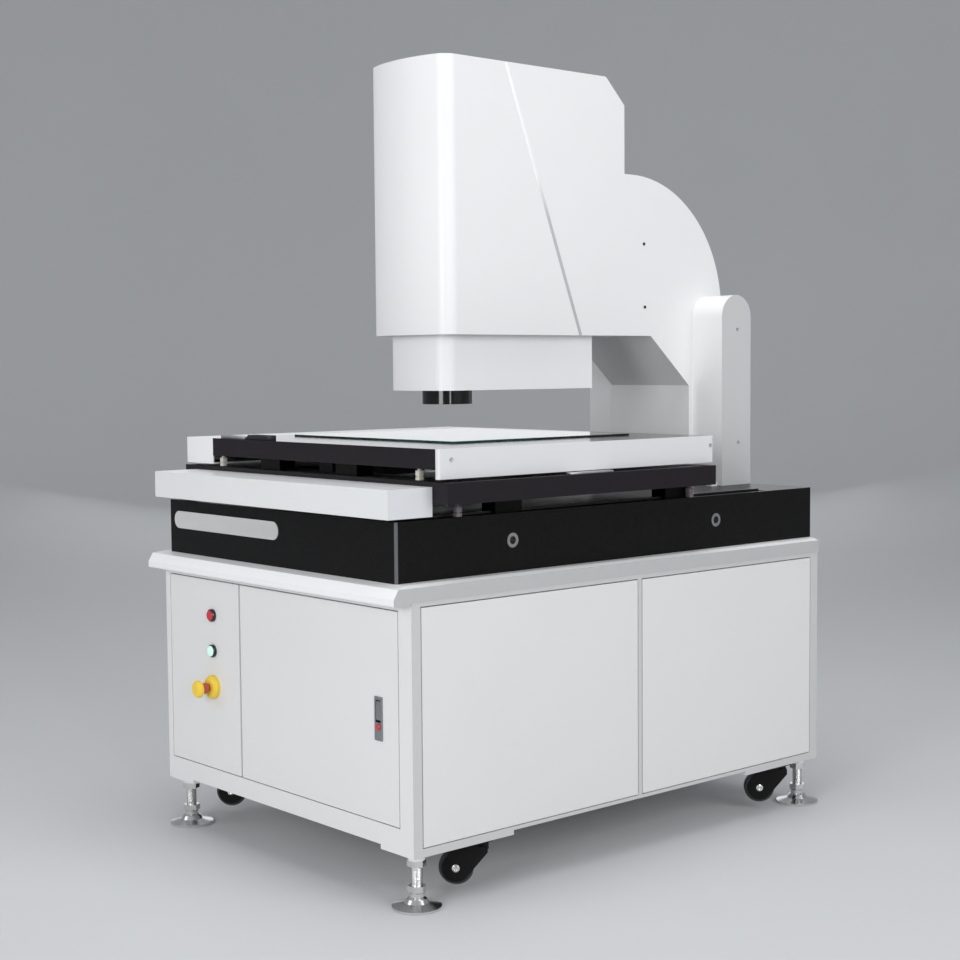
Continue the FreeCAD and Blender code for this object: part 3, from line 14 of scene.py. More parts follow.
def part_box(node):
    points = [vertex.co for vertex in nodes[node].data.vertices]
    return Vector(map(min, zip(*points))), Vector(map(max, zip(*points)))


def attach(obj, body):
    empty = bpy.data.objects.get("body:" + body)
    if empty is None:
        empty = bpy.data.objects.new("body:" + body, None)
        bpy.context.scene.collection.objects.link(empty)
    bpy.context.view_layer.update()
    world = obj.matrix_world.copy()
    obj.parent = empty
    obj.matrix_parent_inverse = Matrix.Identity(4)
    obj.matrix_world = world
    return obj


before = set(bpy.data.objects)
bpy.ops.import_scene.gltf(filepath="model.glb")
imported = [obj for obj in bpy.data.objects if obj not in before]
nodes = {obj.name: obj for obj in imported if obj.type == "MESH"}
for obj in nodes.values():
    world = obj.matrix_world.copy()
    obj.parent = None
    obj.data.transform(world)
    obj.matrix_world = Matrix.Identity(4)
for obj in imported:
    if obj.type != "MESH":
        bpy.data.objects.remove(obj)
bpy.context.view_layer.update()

# %% [markdown]
# The camera stands where the photographer stood: to the right of the machine's front, at chest height,
# four metres away. Its place and turn come from lines that are level or upright on the real machine. A
# matrix with the camera's right, up and backward directions sets all three turns at once.

# %% Camera
YAW, PITCH, ROLL = math.radians(48.9459), math.radians(3.8868), math.radians(-0.456)
FOCAL_PIXELS, PICTURE_PIXELS, SENSOR_WIDTH = 1677.14, 960, 36
STANDPOINT = Vector((3.0920, -2.7399, 1.1147))
ahead = Vector((-math.sin(YAW) * math.cos(PITCH), math.cos(YAW) * math.cos(PITCH), -math.sin(PITCH)))
level = ahead.cross(Vector((0, 0, 1))).normalized()
upward = level.cross(ahead)
right = level * math.cos(ROLL) + upward * math.sin(ROLL)
top = upward * math.cos(ROLL) - level * math.sin(ROLL)
camera = bpy.data.objects.new("camera_view", bpy.data.cameras.new("camera_view"))
bpy.context.scene.collection.objects.link(camera)
camera.matrix_world = Matrix.Translation(STANDPOINT) @ Matrix((right, top, -ahead)).transposed().to_4x4()
camera.data.sensor_width = SENSOR_WIDTH
camera.data.lens = FOCAL_PIXELS / PICTURE_PIXELS * SENSOR_WIDTH
bpy.context.scene.camera = camera
print("lens", round(camera.data.lens, 2), "mm")

# %% [markdown]
# Studio photographs of machines are lit with large soft boxes, so that flat white sheet metal shows no
# hard spots. One big lamp stands to the front left for the front faces and a smaller one to the front
# right reaches the posts behind the head. One stands to the right for the long side, and one hangs above.
# A narrow one beside the camera draws a bright line on every rounded corner. A wide card behind the
# machine is what the glass mirrors, so the camera itself mustn't see it.

# %% Lamps and surroundings
def softbox(name, place, aim, size, watts):
    lamp = bpy.data.objects.new(name, bpy.data.lights.new(name, "AREA"))
    lamp.data.shape = "RECTANGLE"
    lamp.data.size, lamp.data.size_y = size
    lamp.data.energy = watts
    lamp.location = place
    lamp.rotation_euler = (Vector(aim) - Vector(place)).to_track_quat("-Z", "Y").to_euler()
    bpy.context.scene.collection.objects.link(lamp)
    return lamp


softbox("front_box", (-2.2, -5.0, 2.6), (0, 0, 0.9), (3.2, 2.6), 36)
softbox("second_front_box", (1.9, -5.0, 1.7), (0, 0, 0.9), (1.6, 2.2), 92)
softbox("side_box", (5.2, 0.6, 2.4), (0, 0, 1.1), (3.4, 2.6), 86)
softbox("roof_box", (0.6, -0.3, 5.2), (0, 0, 0.9), (3.6, 3.6), 95)
softbox("corner_strip", (4.3, -2.3, 1.6), (0, 0, 1.2), (0.35, 2.6), 30)
card = softbox("rear_card", (-5.4, 4.5, 1.7), (0, 0, 1.0), (5.6, 2.6), 30)
card.visible_camera = False
world = bpy.data.worlds.new("studio")
world.use_nodes = True
surroundings = world.node_tree.nodes["Background"]
surroundings.inputs["Color"].default_value = (0.93, 0.95, 1.0, 1)
surroundings.inputs["Strength"].default_value = 0.42
bpy.context.scene.world = world
bpy.context.scene.view_settings.view_transform = "Standard"

# %% [markdown]
# A painted metal surface is not one flat colour. Its sheen changes a little from place to place and the
# paint has a faint orange peel. To write such recipes as sums, a small class stands for the output of a
# node: adding or multiplying it adds a Math node. One method adds every other node.

# %% Shader sums
class Value:
    """The output of a node, which can be used in a sum."""

    def __init__(self, finish, socket):
        self.finish = finish
        self.socket = socket

    def math(self, operation, first, second=0.0):
        return self.finish.node("ShaderNodeMath", {"operation": operation}, {0: first, 1: second})

    def __add__(self, other):
        return self.math("ADD", self, other)

    def __sub__(self, other):
        return self.math("SUBTRACT", self, other)

    def __mul__(self, other):
        return self.math("MULTIPLY", self, other)

    def __rsub__(self, other):
        return self.math("SUBTRACT", other, self)

    __radd__ = __add__
    __rmul__ = __mul__

    def above(self, level):
        return self.math("GREATER_THAN", self, level)

    def below(self, level):
        return self.math("LESS_THAN", self, level)

    def magnitude(self):
        return self.math("ABSOLUTE", self)


class Finish:
    """A material with one principled shader. Constants are set on its sockets by name."""

    def __init__(self, name, **constants):
        self.material = bpy.data.materials.new(name)
        self.material.use_nodes = True
        self.tree = self.material.node_tree
        self.shader = self.tree.nodes["Principled BSDF"]
        for word, value in constants.items():
            self.shader.inputs[word.replace("_", " ")].default_value = value

    def feed(self, socket, value):
        if isinstance(value, Value):
            self.tree.links.new(value.socket, socket)
        else:
            socket.default_value = value

    def node(self, kind, settings=None, inputs=None, output=0):
        node = self.tree.nodes.new(kind)
        for word, value in (settings or {}).items():
            if word == "stops":
                for element, (place, shade) in zip(node.color_ramp.elements, value):
                    element.position = place
                    element.color = (shade, shade, shade, 1)
            else:
                setattr(node, word, value)
        for key, value in (inputs or {}).items():
            self.feed(node.inputs[key], value)
        return Value(self, node.outputs[output])

    def where(self):
        return self.node("ShaderNodeTexCoord", output="Object")

    def axes(self):
        split = self.node("ShaderNodeSeparateXYZ", inputs={0: self.where()}).socket.node
        return [Value(self, split.outputs[i]) for i in range(3)]

    def noise(self, scale, detail=3.0, stretch=(1, 1, 1)):
        place = self.node("ShaderNodeMapping", inputs={"Vector": self.where(), "Scale": stretch})
        return self.node("ShaderNodeTexNoise", inputs={"Vector": place, "Scale": scale, "Detail": detail})

    def ramp(self, value, *stops):
        return self.node("ShaderNodeValToRGB", {"stops": stops}, {0: value})

    def blend(self, mask, first, second):
        return self.node("ShaderNodeMix", {"data_type": "RGBA"}, {0: mask, 6: first, 7: second}, 2)

    def surface(self, **sockets):
        for word, value in sockets.items():
            self.feed(self.shader.inputs[word.replace("_", " ")], value)

    def bump(self, height, strength, distance):
        made = self.node("ShaderNodeBump",
                         inputs={"Height": height, "Strength": strength, "Distance": distance})
        self.surface(Normal=made)


def dress(finish, *names):
    """Puts the finish into every material slot of the named nodes. Their meshes stay as they are."""
    for name in names:
        for slot in nodes[name].material_slots:
            slot.material = finish.material
    print(finish.material.name, "on", len(names), "nodes")


def shade(red, green, blue):
    return (red, green, blue, 1)


# %% [markdown]
# The sheet metal is powder coated. The powder melts in an oven and leaves a very fine orange peel of about
# a millimetre, and handling leaves it a touch duller in places. The head and the covers are white, the
# sleeve under the head is whiter still, and the side bar and the cabinet's panels are light greys.

# %% Powder coat
def clouded(coat, colour):
    """The colour with soft clouds in it that are a few percent deeper."""
    deeper = [part * 0.955 for part in colour]
    return coat.blend(coat.noise(3.0, 4.0), shade(*colour), shade(*deeper))


def powder_coat(name, colour, roughness):
    coat = Finish(name, Specular_IOR_Level=0.35)
    coat.surface(Base_Color=clouded(coat, colour),
                 Roughness=coat.noise(14.0, 5.0) * 0.14 + (roughness - 0.07))
    coat.bump(coat.noise(620.0, 2.0), 0.10, 0.0004)
    return coat


white_coat = powder_coat("white_coat", (0.87, 0.875, 0.88), 0.34)
dress(white_coat, "head_cover", "column_cover", "left_drive_cover")
dress(powder_coat("bar_coat", (0.72, 0.725, 0.735), 0.34), "right_side_cover")
dress(powder_coat("panel_coat", (0.78, 0.78, 0.775), 0.40), "control_panel", "front_door")
dress(powder_coat("side_panel_coat", (0.73, 0.73, 0.725), 0.40), "side_panels", "rear_panel")
dress(powder_coat("sleeve_coat", (0.945, 0.955, 0.975), 0.36), "z_box")

# %% [markdown]
# The tray, the posts, the front cover and the welded frame are painted lighter in front than on their upright
# sides: the grey of the sides is painted shade. A mask finds the sides by their distance from the
# middle of the machine: what lies within a hair, half a millimetre, of the widest place is a side.

# %% Coats with painted shade on their sides
HAIR = 0.0005


def shade_sided_coat(name, node, front, side, roughness=0.34):
    coat = powder_coat(name, front, roughness)
    # The side colour is painted shade: a darker grey on the upright sides.
    painted_shade_side = coat.axes()[0].magnitude().above(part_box(node)[1].x - HAIR)
    coat.surface(Base_Color=coat.blend(painted_shade_side, clouded(coat, front), clouded(coat, side)))
    dress(coat, node)


# The second colour of each coat is the painted shade of its upright sides.
shade_sided_coat("tray_coat", "top_tray", (0.90, 0.905, 0.91), (0.49, 0.49, 0.495))
shade_sided_coat("post_coat", "side_posts", (0.93, 0.93, 0.935), (0.60, 0.60, 0.605))
shade_sided_coat("cover_coat", "lower_front_cover", (0.79, 0.80, 0.80), (0.67, 0.68, 0.70))
shade_sided_coat("frame_coat", "cabinet_frame", (0.78, 0.785, 0.785), (0.57, 0.575, 0.575), 0.36)

# %% [markdown]
# Granite for measuring is black and fine grained. Lapping leaves it smooth but not mirror bright. Two
# sizes of crystal make it: dark cells of about a millimetre and, here and there, a paler fleck. A narrow
# strip along its upright corners is painted a dull lighter grey, a painted highlight where a chamfer would
# catch the light.

# %% Black granite
granite = Finish("black_granite", Specular_IOR_Level=0.12)
crystal = granite.node("ShaderNodeTexVoronoi", inputs={"Vector": granite.where(), "Scale": 760.0})
fleck = granite.noise(1300.0, 2.0).above(0.66)
dark = granite.blend(granite.ramp(crystal, (0.0, 1.0), (0.7, 0.0)),
                     shade(0.0035, 0.0035, 0.0037), shade(0.009, 0.009, 0.0092))
lapped = granite.blend(fleck, dark, shade(0.045, 0.045, 0.047))
granite_low, granite_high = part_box("granite_base")
granite_middle, granite_reach = (granite_low + granite_high) / 2, (granite_high - granite_low) / 2
CORNER_HIGHLIGHT_WIDTH, CORNER_HIGHLIGHT_MARGIN = 0.005, 0.0003
across, along = granite.axes()[:2]
from_middle = (across - granite_middle.x).magnitude() + (along - granite_middle.y).magnitude()
# Painted highlight: a strip along the upright corners is coloured lighter grey.
painted_corner_highlight = from_middle.above(granite_reach.x + granite_reach.y - CORNER_HIGHLIGHT_WIDTH - CORNER_HIGHLIGHT_MARGIN)
granite.surface(Base_Color=granite.blend(painted_corner_highlight, lapped, shade(0.12, 0.12, 0.125)),
                Roughness=granite.noise(240.0, 3.0) * 0.16 + 0.22)
granite.bump(crystal, 0.04, 0.0002)
dress(granite, "granite_base")

# %% [markdown]
# The two stages are aluminium plates, anodised in a black that leans to purple. The dye sits in a hard
# skin, so the surface shows the faint straight lines of the milling under it. The upper plate's top is
# polished before it is dyed, and seen at a low angle it mirrors the pale studio behind it.

# %% Dark anodised stages
upper_low, upper_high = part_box("upper_stage")
anodised = Finish("dark_anodised", Metallic=0.2, Specular_IOR_Level=0.25)
lines = anodised.noise(90.0, 4.0, (0.6, 14.0, 14.0))
polished = anodised.axes()[2].above(upper_high.z - HAIR)
dyed = anodised.blend(anodised.noise(5.0), shade(0.016, 0.012, 0.0155), shade(0.011, 0.009, 0.012))
anodised.surface(Base_Color=dyed, Roughness=lines * 0.18 + 0.30 - polished * 0.26)
anodised.bump(lines * (1 - polished), 0.05, 0.0003)
dress(anodised, "lower_stage", "upper_stage")

# %% [markdown]
# The glass plate is clear on its faces. At its ground edges light has a long way through the glass, and
# the iron in it shows as a dark sea green. A mask on the distance from the middle finds the edges.

# %% Plate glass
GROUND_EDGE = 0.0008
low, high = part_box("stage_glass")
middle, reach = (low + high) / 2, (high - low) / 2
glass = Finish("plate_glass", Transmission_Weight=1.0, IOR=1.5)
across, along = glass.axes()[:2]
past_side = (across - middle.x).magnitude() - reach.x
past_end = (along - middle.y).magnitude() - reach.y
edge = glass.node("ShaderNodeMath", {"operation": "MAXIMUM"}, {0: past_side, 1: past_end}).above(-GROUND_EDGE)
glass.surface(Base_Color=glass.blend(edge, shade(0.93, 0.98, 0.965), shade(0.02, 0.13, 0.11)),
              Roughness=edge * 0.25 + 0.015)
dress(glass, "stage_glass")

# %% [markdown]
# Rails, carriages and screws are steel. A ground rail has fine lines along its length. A lead screw has a
# thread, and a thread is a wave that climbs as it turns: its height depends on the place along the axis
# plus the angle round it. A sine of the two gives the ridges without one extra face.

# %% Steel and screw threads
def ground_steel(name, grey, roughness, stretch):
    steel = Finish(name, Metallic=1.0)
    marks = steel.noise(120.0, 4.0, stretch)
    steel.surface(Base_Color=steel.blend(steel.noise(9.0), shade(*[grey] * 3), shade(*[grey * 0.88] * 3)),
                  Roughness=marks * 0.2 + (roughness - 0.1))
    steel.bump(marks, 0.06, 0.0002)
    return steel


def thread_wave(steel, axial, first, second, pitch):
    angle = steel.node("ShaderNodeMath", {"operation": "ARCTAN2"}, {0: second, 1: first})
    phase = axial * (2 * math.pi / pitch) + angle
    return phase.math("SINE", phase)


def threaded_steel(name, axis, centre, pitch=0.010):
    steel = Finish(name, Metallic=1.0, Base_Color=shade(0.55, 0.55, 0.56))
    places = steel.axes()
    axial = places.pop(axis)
    first, second = [place - middle for place, middle in zip(places, centre)]
    wave = thread_wave(steel, axial, first, second, pitch)
    steel.surface(Roughness=wave * 0.10 + 0.30)
    steel.bump(wave, 0.7, 0.0012)
    return steel


dress(ground_steel("rail_steel_y", 0.07, 0.34, (8, 0.5, 8)), "guide_rails")
dress(ground_steel("rail_steel_x", 0.07, 0.34, (0.5, 8, 8)), "x_rails")
dress(ground_steel("carriage_steel", 0.014, 0.45, (3, 3, 3)), "y_carriages", "x_carriages")
dress(threaded_steel("y_screw_thread", 1, (-0.280, 0.817)), "y_screw")
dress(threaded_steel("x_screw_thread", 0, (-0.492, 0.916)), "x_screw")
dress(threaded_steel("z_screw_thread", 2, (0.0, -0.045)), "z_screw")

# %% [markdown]
# The levelling feet and their nuts are plated bright. Only the studs have a thread, so a mask keeps the
# wave to the metal within thirteen millimetres of the stud's middle. All four feet mirror each other about
# the middle of the machine, and one recipe with absolute values serves them all.

# %% Bright feet
STUD_REACH, STUD_START, STUD_PITCH = 0.0128, 0.048, 0.003
foot_low, foot_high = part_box("foot_front_right")
foot_x = (foot_low.x + foot_high.x) / 2
rear_low, rear_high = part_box("foot_rear_right")
foot_front, foot_rear = (foot_low.y + foot_high.y) / 2, (rear_low.y + rear_high.y) / 2
plated = Finish("bright_plate", Metallic=1.0)
across, along, height = plated.axes()
from_x = across.magnitude() - foot_x
from_y = (along - (foot_front + foot_rear) / 2).magnitude() - (foot_rear - foot_front) / 2
on_stud = (from_x * from_x + from_y * from_y).below(STUD_REACH ** 2) * height.above(STUD_START)
wave = thread_wave(plated, height, from_x, from_y, STUD_PITCH) * on_stud
plated.surface(Base_Color=plated.blend(plated.noise(30.0), shade(0.78, 0.78, 0.77), shade(0.66, 0.66, 0.66)),
               Roughness=plated.noise(60.0, 5.0) * 0.16 + 0.10)
plated.bump(wave, 0.5, 0.0008)
dress(plated, "foot_lock_nuts", *[f"foot_{end}_{side}" for end in ("front", "rear") for side in ("right", "left")])

# %% [markdown]
# Small plated parts such as the hinge pins and the lock are zinc: greyer than chrome, with a faint blotch
# from the bath. The collars of the round buttons are chromed black. Machined aluminium keeps the lines of
# its cutter.

# %% Zinc, black chrome and machined aluminium
zinc = Finish("zinc_plate", Metallic=1.0)
blotch = zinc.noise(55.0, 5.0)
zinc.surface(Base_Color=zinc.blend(blotch, shade(0.40, 0.41, 0.42), shade(0.30, 0.31, 0.32)),
             Roughness=blotch * 0.2 + 0.26)
zinc.bump(blotch, 0.05, 0.0003)
dress(zinc, "door_hinge_pins", "door_lock_body", "door_lock_handle")

collar = Finish("collar_black_chrome", Metallic=1.0)
collar.surface(Base_Color=collar.blend(collar.noise(80.0), shade(0.075, 0.08, 0.085), shade(0.05, 0.055, 0.06)),
               Roughness=collar.noise(200.0) * 0.1 + 0.22)
dress(collar, "button_bezels")

machined = ground_steel("machined_aluminium", 0.66, 0.36, (10, 1, 1))
dress(machined, "y_screw_supports", "z_plate", "z_saddle", "backlight")
dress(ground_steel("insert_metal", 0.44, 0.34, (6, 6, 6)), "lifting_inserts")

# %% [markdown]
# Plastics differ mostly in gloss. The emergency stop has a yellow knob on a red-brown neck, which shows
# when the knob is ready to be pressed. The neck is the part behind the knob, so its place along the axis
# picks the colour. The lamp button is milky and glows a little.

# %% Plastics
def plastic(name, colour, roughness, grain=0.03):
    made = Finish(name, Specular_IOR_Level=0.5)
    cloud = made.noise(40.0, 3.0)
    made.surface(Base_Color=made.blend(cloud, shade(*colour), shade(*[part * 0.88 for part in colour])),
                 Roughness=cloud * 0.12 + (roughness - 0.06))
    made.bump(made.noise(900.0), grain, 0.0003)
    return made


YELLOW = (0.93, 0.66, 0.06)
dress(plastic("red_plastic", (0.62, 0.035, 0.06), 0.28), "red_button", "door_lock_button")
dress(plastic("yellow_plastic", YELLOW, 0.34), "emergency_stop_base")
dress(plastic("black_plastic", (0.022, 0.022, 0.023), 0.42, 0.10), "power_inlet",
      *[name for name in nodes if name.startswith("caster_wheel")])
lamp_green = plastic("lamp_green", (0.62, 0.90, 0.80), 0.22)
lamp_green.surface(Emission_Color=shade(0.75, 1.0, 0.92), Emission_Strength=0.22)
dress(lamp_green, "green_button")

KNOB_THICKNESS = 0.0155
knob_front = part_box("emergency_stop_knob")[0].y
knob_finish = plastic("stop_knob_plastic", YELLOW, 0.30)
behind = knob_finish.axes()[1].above(knob_front + KNOB_THICKNESS)
yellow = knob_finish.blend(knob_finish.noise(40.0), shade(*YELLOW), shade(0.86, 0.58, 0.05))
knob_finish.surface(Base_Color=knob_finish.blend(behind, yellow, shade(0.50, 0.10, 0.04)))
dress(knob_finish, "emergency_stop_knob")

# %% [markdown]
# Motors and camera are satin black, and the casters' forks and plates are a deeper and flatter black. The
# lens and its ring light are polished, so that the lamps draw bright lines down them. The casting inside
# the column and the boxes in the cabinet are seen only when a door or a cover is off, and they get the
# grey and black of real ones.

# %% Black parts and castings
satin_black = powder_coat("satin_black", (0.020, 0.020, 0.022), 0.36)
dress(satin_black, "drive_motors", "x_motor", "camera", "control_units")
caster_black = powder_coat("caster_black", (0.0035, 0.0035, 0.004), 0.50)
caster_black.surface(Specular_IOR_Level=0.15)
dress(caster_black, "caster_plates", *[name for name in nodes if name.startswith("caster_fork")])
gloss_black = Finish("gloss_black", Specular_IOR_Level=0.5)
haze = gloss_black.noise(60.0, 4.0)
gloss_black.surface(Base_Color=gloss_black.blend(haze, shade(0.0035, 0.0035, 0.004), shade(0.0055, 0.0055, 0.006)),
                    Roughness=haze * 0.06 + 0.09)
gloss_black.bump(gloss_black.noise(700.0), 0.02, 0.0002)
dress(gloss_black, "zoom_lens", "ring_light")
dress(powder_coat("casting_grey", (0.30, 0.31, 0.32), 0.55), "column_core")

# %% [markdown]
# The pieces from here on are added one by one. Each starts as a cube or a cylinder at its size and place.
# Nothing may stay selected from before, so a helper clears the selection, and two others pick faces by the
# way they look and edges by their ends. The place goes into the mesh, so that the object itself sits at
# the origin. What repeats is modelled once and copied.

# %% Helpers for modelling
def start_cube(name, centre, size):
    bpy.ops.object.select_all(action="DESELECT")
    bpy.ops.mesh.primitive_cube_add(size=1, location=centre)
    piece = bpy.context.object
    piece.name = piece.data.name = name
    piece.scale = size
    bpy.ops.object.transform_apply(location=True, rotation=True, scale=True)
    return piece


def start_rod(name, centre, radius, depth, direction, sides):
    bpy.ops.object.select_all(action="DESELECT")
    turn = Vector(direction).to_track_quat("Z", "Y").to_euler()
    bpy.ops.mesh.primitive_cylinder_add(vertices=sides, radius=radius, depth=depth, location=centre, rotation=turn)
    piece = bpy.context.object
    piece.name = piece.data.name = name
    bpy.ops.object.transform_apply(location=True, rotation=True, scale=True)
    return piece


def pick(piece, kind, parts, test):
    """Enters edit mode with only those faces or edges selected that pass the test."""
    bpy.ops.object.mode_set(mode="EDIT")
    bpy.ops.mesh.select_mode(type=kind)
    bpy.ops.mesh.select_all(action="DESELECT")
    bpy.ops.object.mode_set(mode="OBJECT")
    for part in parts:
        part.select = test(part)
    bpy.ops.object.mode_set(mode="EDIT")


def pick_faces(piece, test):
    pick(piece, "FACE", piece.data.polygons, test)


def pick_edges(piece, test):
    """Here the test is given the places of an edge's two ends."""
    corners = piece.data.vertices
    pick(piece, "EDGE", piece.data.edges, lambda edge: test(*[corners[i].co for i in edge.vertices]))


def facing(direction, least=0.9):
    return lambda face: face.normal.dot(Vector(direction)) > least


def sink(offset, depth, direction):
    """Insets the selected faces and pushes them in, which makes a recess with a rim."""
    bpy.ops.mesh.inset(thickness=offset)
    bpy.ops.mesh.extrude_region_move(TRANSFORM_OT_translate={"value": Vector(direction) * -depth})


def soften(piece, width, segments=2):
    bpy.ops.object.mode_set(mode="OBJECT")
    bevel = piece.modifiers.new("soft_edges", "BEVEL")
    bevel.width, bevel.segments, bevel.limit_method = width, segments, "ANGLE"
    bpy.ops.object.modifier_apply(modifier=bevel.name)
    bpy.ops.object.shade_smooth_by_angle(angle=math.radians(35))


def place_piece(piece, finish, body):
    piece.data.materials.clear()
    piece.data.materials.append(finish.material)
    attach(piece, body)
    print(piece.name, len(piece.data.polygons), "faces on", body)


def copied(piece, name, turn=None, move=(0, 0, 0)):
    """A copy with a mesh of its own, turned and moved in its mesh."""
    other = piece.copy()
    other.data = piece.data.copy()
    other.name = other.data.name = name
    bpy.context.scene.collection.objects.link(other)
    other.data.transform(Matrix.Translation(move) @ (turn or Matrix.Identity(4)))
    return other

# %% [markdown]
# On the granite's front sits a long metal plate with round ends. A cube gets its four upright corners
# rounded by a wide bevel, then the face is inset and pressed in a little, which leaves a fine raised rim.

# %% Plate on the granite
brushed_plate = ground_steel("brushed_plate", 0.70, 0.42, (0.6, 12, 12))
brushed_plate.surface(Metallic=0.25)
PLATE_LEFT, PLATE_RIGHT, PLATE_MIDDLE = -0.414, 0.022, 0.7545
PLATE_HEIGHT, PLATE_THICKNESS = 0.041, 0.002
plate_centre = ((PLATE_LEFT + PLATE_RIGHT) / 2, granite_low.y - PLATE_THICKNESS / 2, PLATE_MIDDLE)
plate = start_cube("front_plate", plate_centre, (PLATE_RIGHT - PLATE_LEFT, PLATE_THICKNESS, PLATE_HEIGHT))
pick_edges(plate, lambda start, end: abs(start.y - end.y) > PLATE_THICKNESS / 2)
bpy.ops.mesh.bevel(offset=PLATE_HEIGHT / 2 - HAIR, segments=10)
pick_faces(plate, facing((0, -1, 0)))
sink(0.0012, 0.0004, (0, -1, 0))
soften(plate, 0.0002)
place_piece(plate, brushed_plate, "base")

# %% [markdown]
# A light strip closes the slanting joint between the head cover and the arm cover. It is one flat bar per
# side, turned to the slope of the joint, with its ends cut level, and one short bar across the roof. Its
# colour is partly painted light: up high it is whiter than the covers, a painted highlight of the light line
# on the joint, and low down, where the joint is open, it darkens from top to bottom, a painted shadow. The
# left bar is a copy of the right one. Without a window the rotate operator turns the other way, which is why
# the slope has a minus sign.

# %% Seam strips
head_low, head_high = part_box("head_cover")
SEAM_LOW, SEAM_TOP = Vector((0.163, 1.188)), Vector((-0.079, 1.824))
SEAM_LENGTH, SEAM_WIDTH, SEAM_THICKNESS, SEAM_PROUD = 0.80, 0.009, 0.003, 0.0006
SHADOW_BELOW, SHADOW_SPAN = 1.52, 0.1
strip_coat = powder_coat("strip_coat", (0.95, 0.955, 0.96), 0.22)
# Painted shadow and highlight: the colour runs from grey low down to a white brighter than the covers at the top.
out_of_shadow = (strip_coat.axes()[2] - (SHADOW_BELOW - SHADOW_SPAN / 2)) * (1 / SHADOW_SPAN)
lit = strip_coat.ramp(out_of_shadow, (0.0, 0.0), (1.0, 1.0))
strip_coat.surface(Base_Color=strip_coat.blend(lit, clouded(strip_coat, (0.55, 0.555, 0.56)),
                                               clouded(strip_coat, (0.95, 0.955, 0.96))))

lean = math.atan2(SEAM_LOW.x - SEAM_TOP.x, SEAM_TOP.y - SEAM_LOW.y)
seam_middle = (SEAM_LOW + SEAM_TOP) / 2
strip_centre = (head_high.x + SEAM_PROUD - SEAM_THICKNESS / 2, seam_middle.x, seam_middle.y)
right_strip = start_cube("seam_strip_right", strip_centre, (SEAM_THICKNESS, SEAM_WIDTH, SEAM_LENGTH))
bpy.ops.object.mode_set(mode="EDIT")
bpy.ops.mesh.select_all(action="SELECT")
bpy.ops.transform.rotate(value=-lean, orient_axis="X", center_override=strip_centre)
for cut, outward in ((head_high.z - HAIR, 1), (head_low.z + HAIR, -1)):
    bpy.ops.mesh.select_all(action="SELECT")
    bpy.ops.mesh.bisect(plane_co=(0, 0, cut), plane_no=(0, 0, outward), clear_outer=True, use_fill=True)
soften(right_strip, 0.0005)
left_strip = copied(right_strip, "seam_strip_left", move=(-2 * strip_centre[0], 0, 0))
roof_strip = start_cube("seam_strip_roof", (0, SEAM_TOP.x, head_high.z - 0.0018),
                        (0.272, SEAM_WIDTH, SEAM_THICKNESS))
soften(roof_strip, 0.0005)
for strip in (right_strip, left_strip, roof_strip):
    place_piece(strip, strip_coat, "base")

# %% [markdown]
# Socket screws hold the covers. One is modelled: a short cylinder whose face is inset and pushed in, which
# makes the socket. Copies are turned and moved to their places. The side bar has slightly larger ones.

# %% Cover screws
SCREW_DEPTH, SCREW_OUT, SOCKET_DEPTH = 0.0022, 0.0006, 0.0012
SMALL_RADIUS, BAR_RADIUS = 0.004, 0.0045
dark_screw = ground_steel("dark_screw", 0.10, 0.35, (5, 5, 5))
light_screw = ground_steel("light_screw", 0.62, 0.35, (5, 5, 5))


def socket_screw(radius):
    """A screw at the origin whose head looks to the machine's right."""
    screw = start_rod("socket_screw", (SCREW_OUT, 0, 0), radius, SCREW_DEPTH, (1, 0, 0), 24)
    pick_faces(screw, facing((1, 0, 0)))
    sink(radius * 0.42, SOCKET_DEPTH, (1, 0, 0))
    soften(screw, 0.0003)
    return screw


def set_screw(screw, name, place, finish, body):
    """Copies the screw to its place, where it looks away from the machine's middle."""
    turn = Matrix.Rotation(0 if place[0] > 0 else math.pi, 4, "Z")
    place_piece(copied(screw, name, turn, place), finish, body)


small_screw, larger_screw = socket_screw(SMALL_RADIUS), socket_screw(BAR_RADIUS)
arm_face, post_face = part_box("column_cover")[1].x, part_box("side_posts")[1].x
for side, word in ((1, "right"), (-1, "left")):
    for index, (along, height) in enumerate(((0.388, 1.420), (0.391, 1.261))):
        place = (side * arm_face, along, height)
        set_screw(small_screw, f"arm_screw_{word}_{index}", place, dark_screw, "base")
    for index, (along, height) in enumerate(((0.631, 1.205), (0.636, 0.912))):
        place = (side * post_face, along, height)
        set_screw(small_screw, f"post_screw_{word}_{index}", place, light_screw, "base")
bar_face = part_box("right_side_cover")[1].x
for index, along in enumerate((-0.543, 0.252)):
    set_screw(larger_screw, f"bar_screw_{index}", (bar_face, along, 0.925), light_screw, "upper_stage")
for screw in (small_screw, larger_screw):
    bpy.data.objects.remove(screw)

# %% [markdown]
# Under the front edge of the upper stage hang two small blocks that trip the end switches, and the lower
# stage has such dogs under its right edge. All four are one shape in two sizes: the cube is cut across
# where its neck and its waist begin and end, and these two bands are inset inwards. One of each size is
# modelled and copied.

# %% Switch blocks and dogs
def hanging_block(name, place, size, neck):
    """A block that hangs under its place. The neck is given as a part of its height."""
    block = start_cube(name, place - Vector((0, 0, size.z / 2)), size)
    waist = (0.55 + neck * 0.45, 0.65 + neck * 0.35)
    bpy.ops.object.mode_set(mode="EDIT")
    for cut in (neck, *waist):
        bpy.ops.mesh.select_all(action="SELECT")
        bpy.ops.mesh.bisect(plane_co=(0, 0, place.z - size.z * cut), plane_no=(0, 0, 1))
    for (start, end), depth in (((0, neck), 0.25), (waist, 0.12)):
        level = place.z - size.z * (start + end) / 2
        pick_faces(block, lambda face: abs(face.normal.z) < 0.1 and abs(face.center.z - level) < HAIR)
        bpy.ops.mesh.inset(thickness=0.0002, depth=-size.x * depth)
    soften(block, 0.0005)
    return block


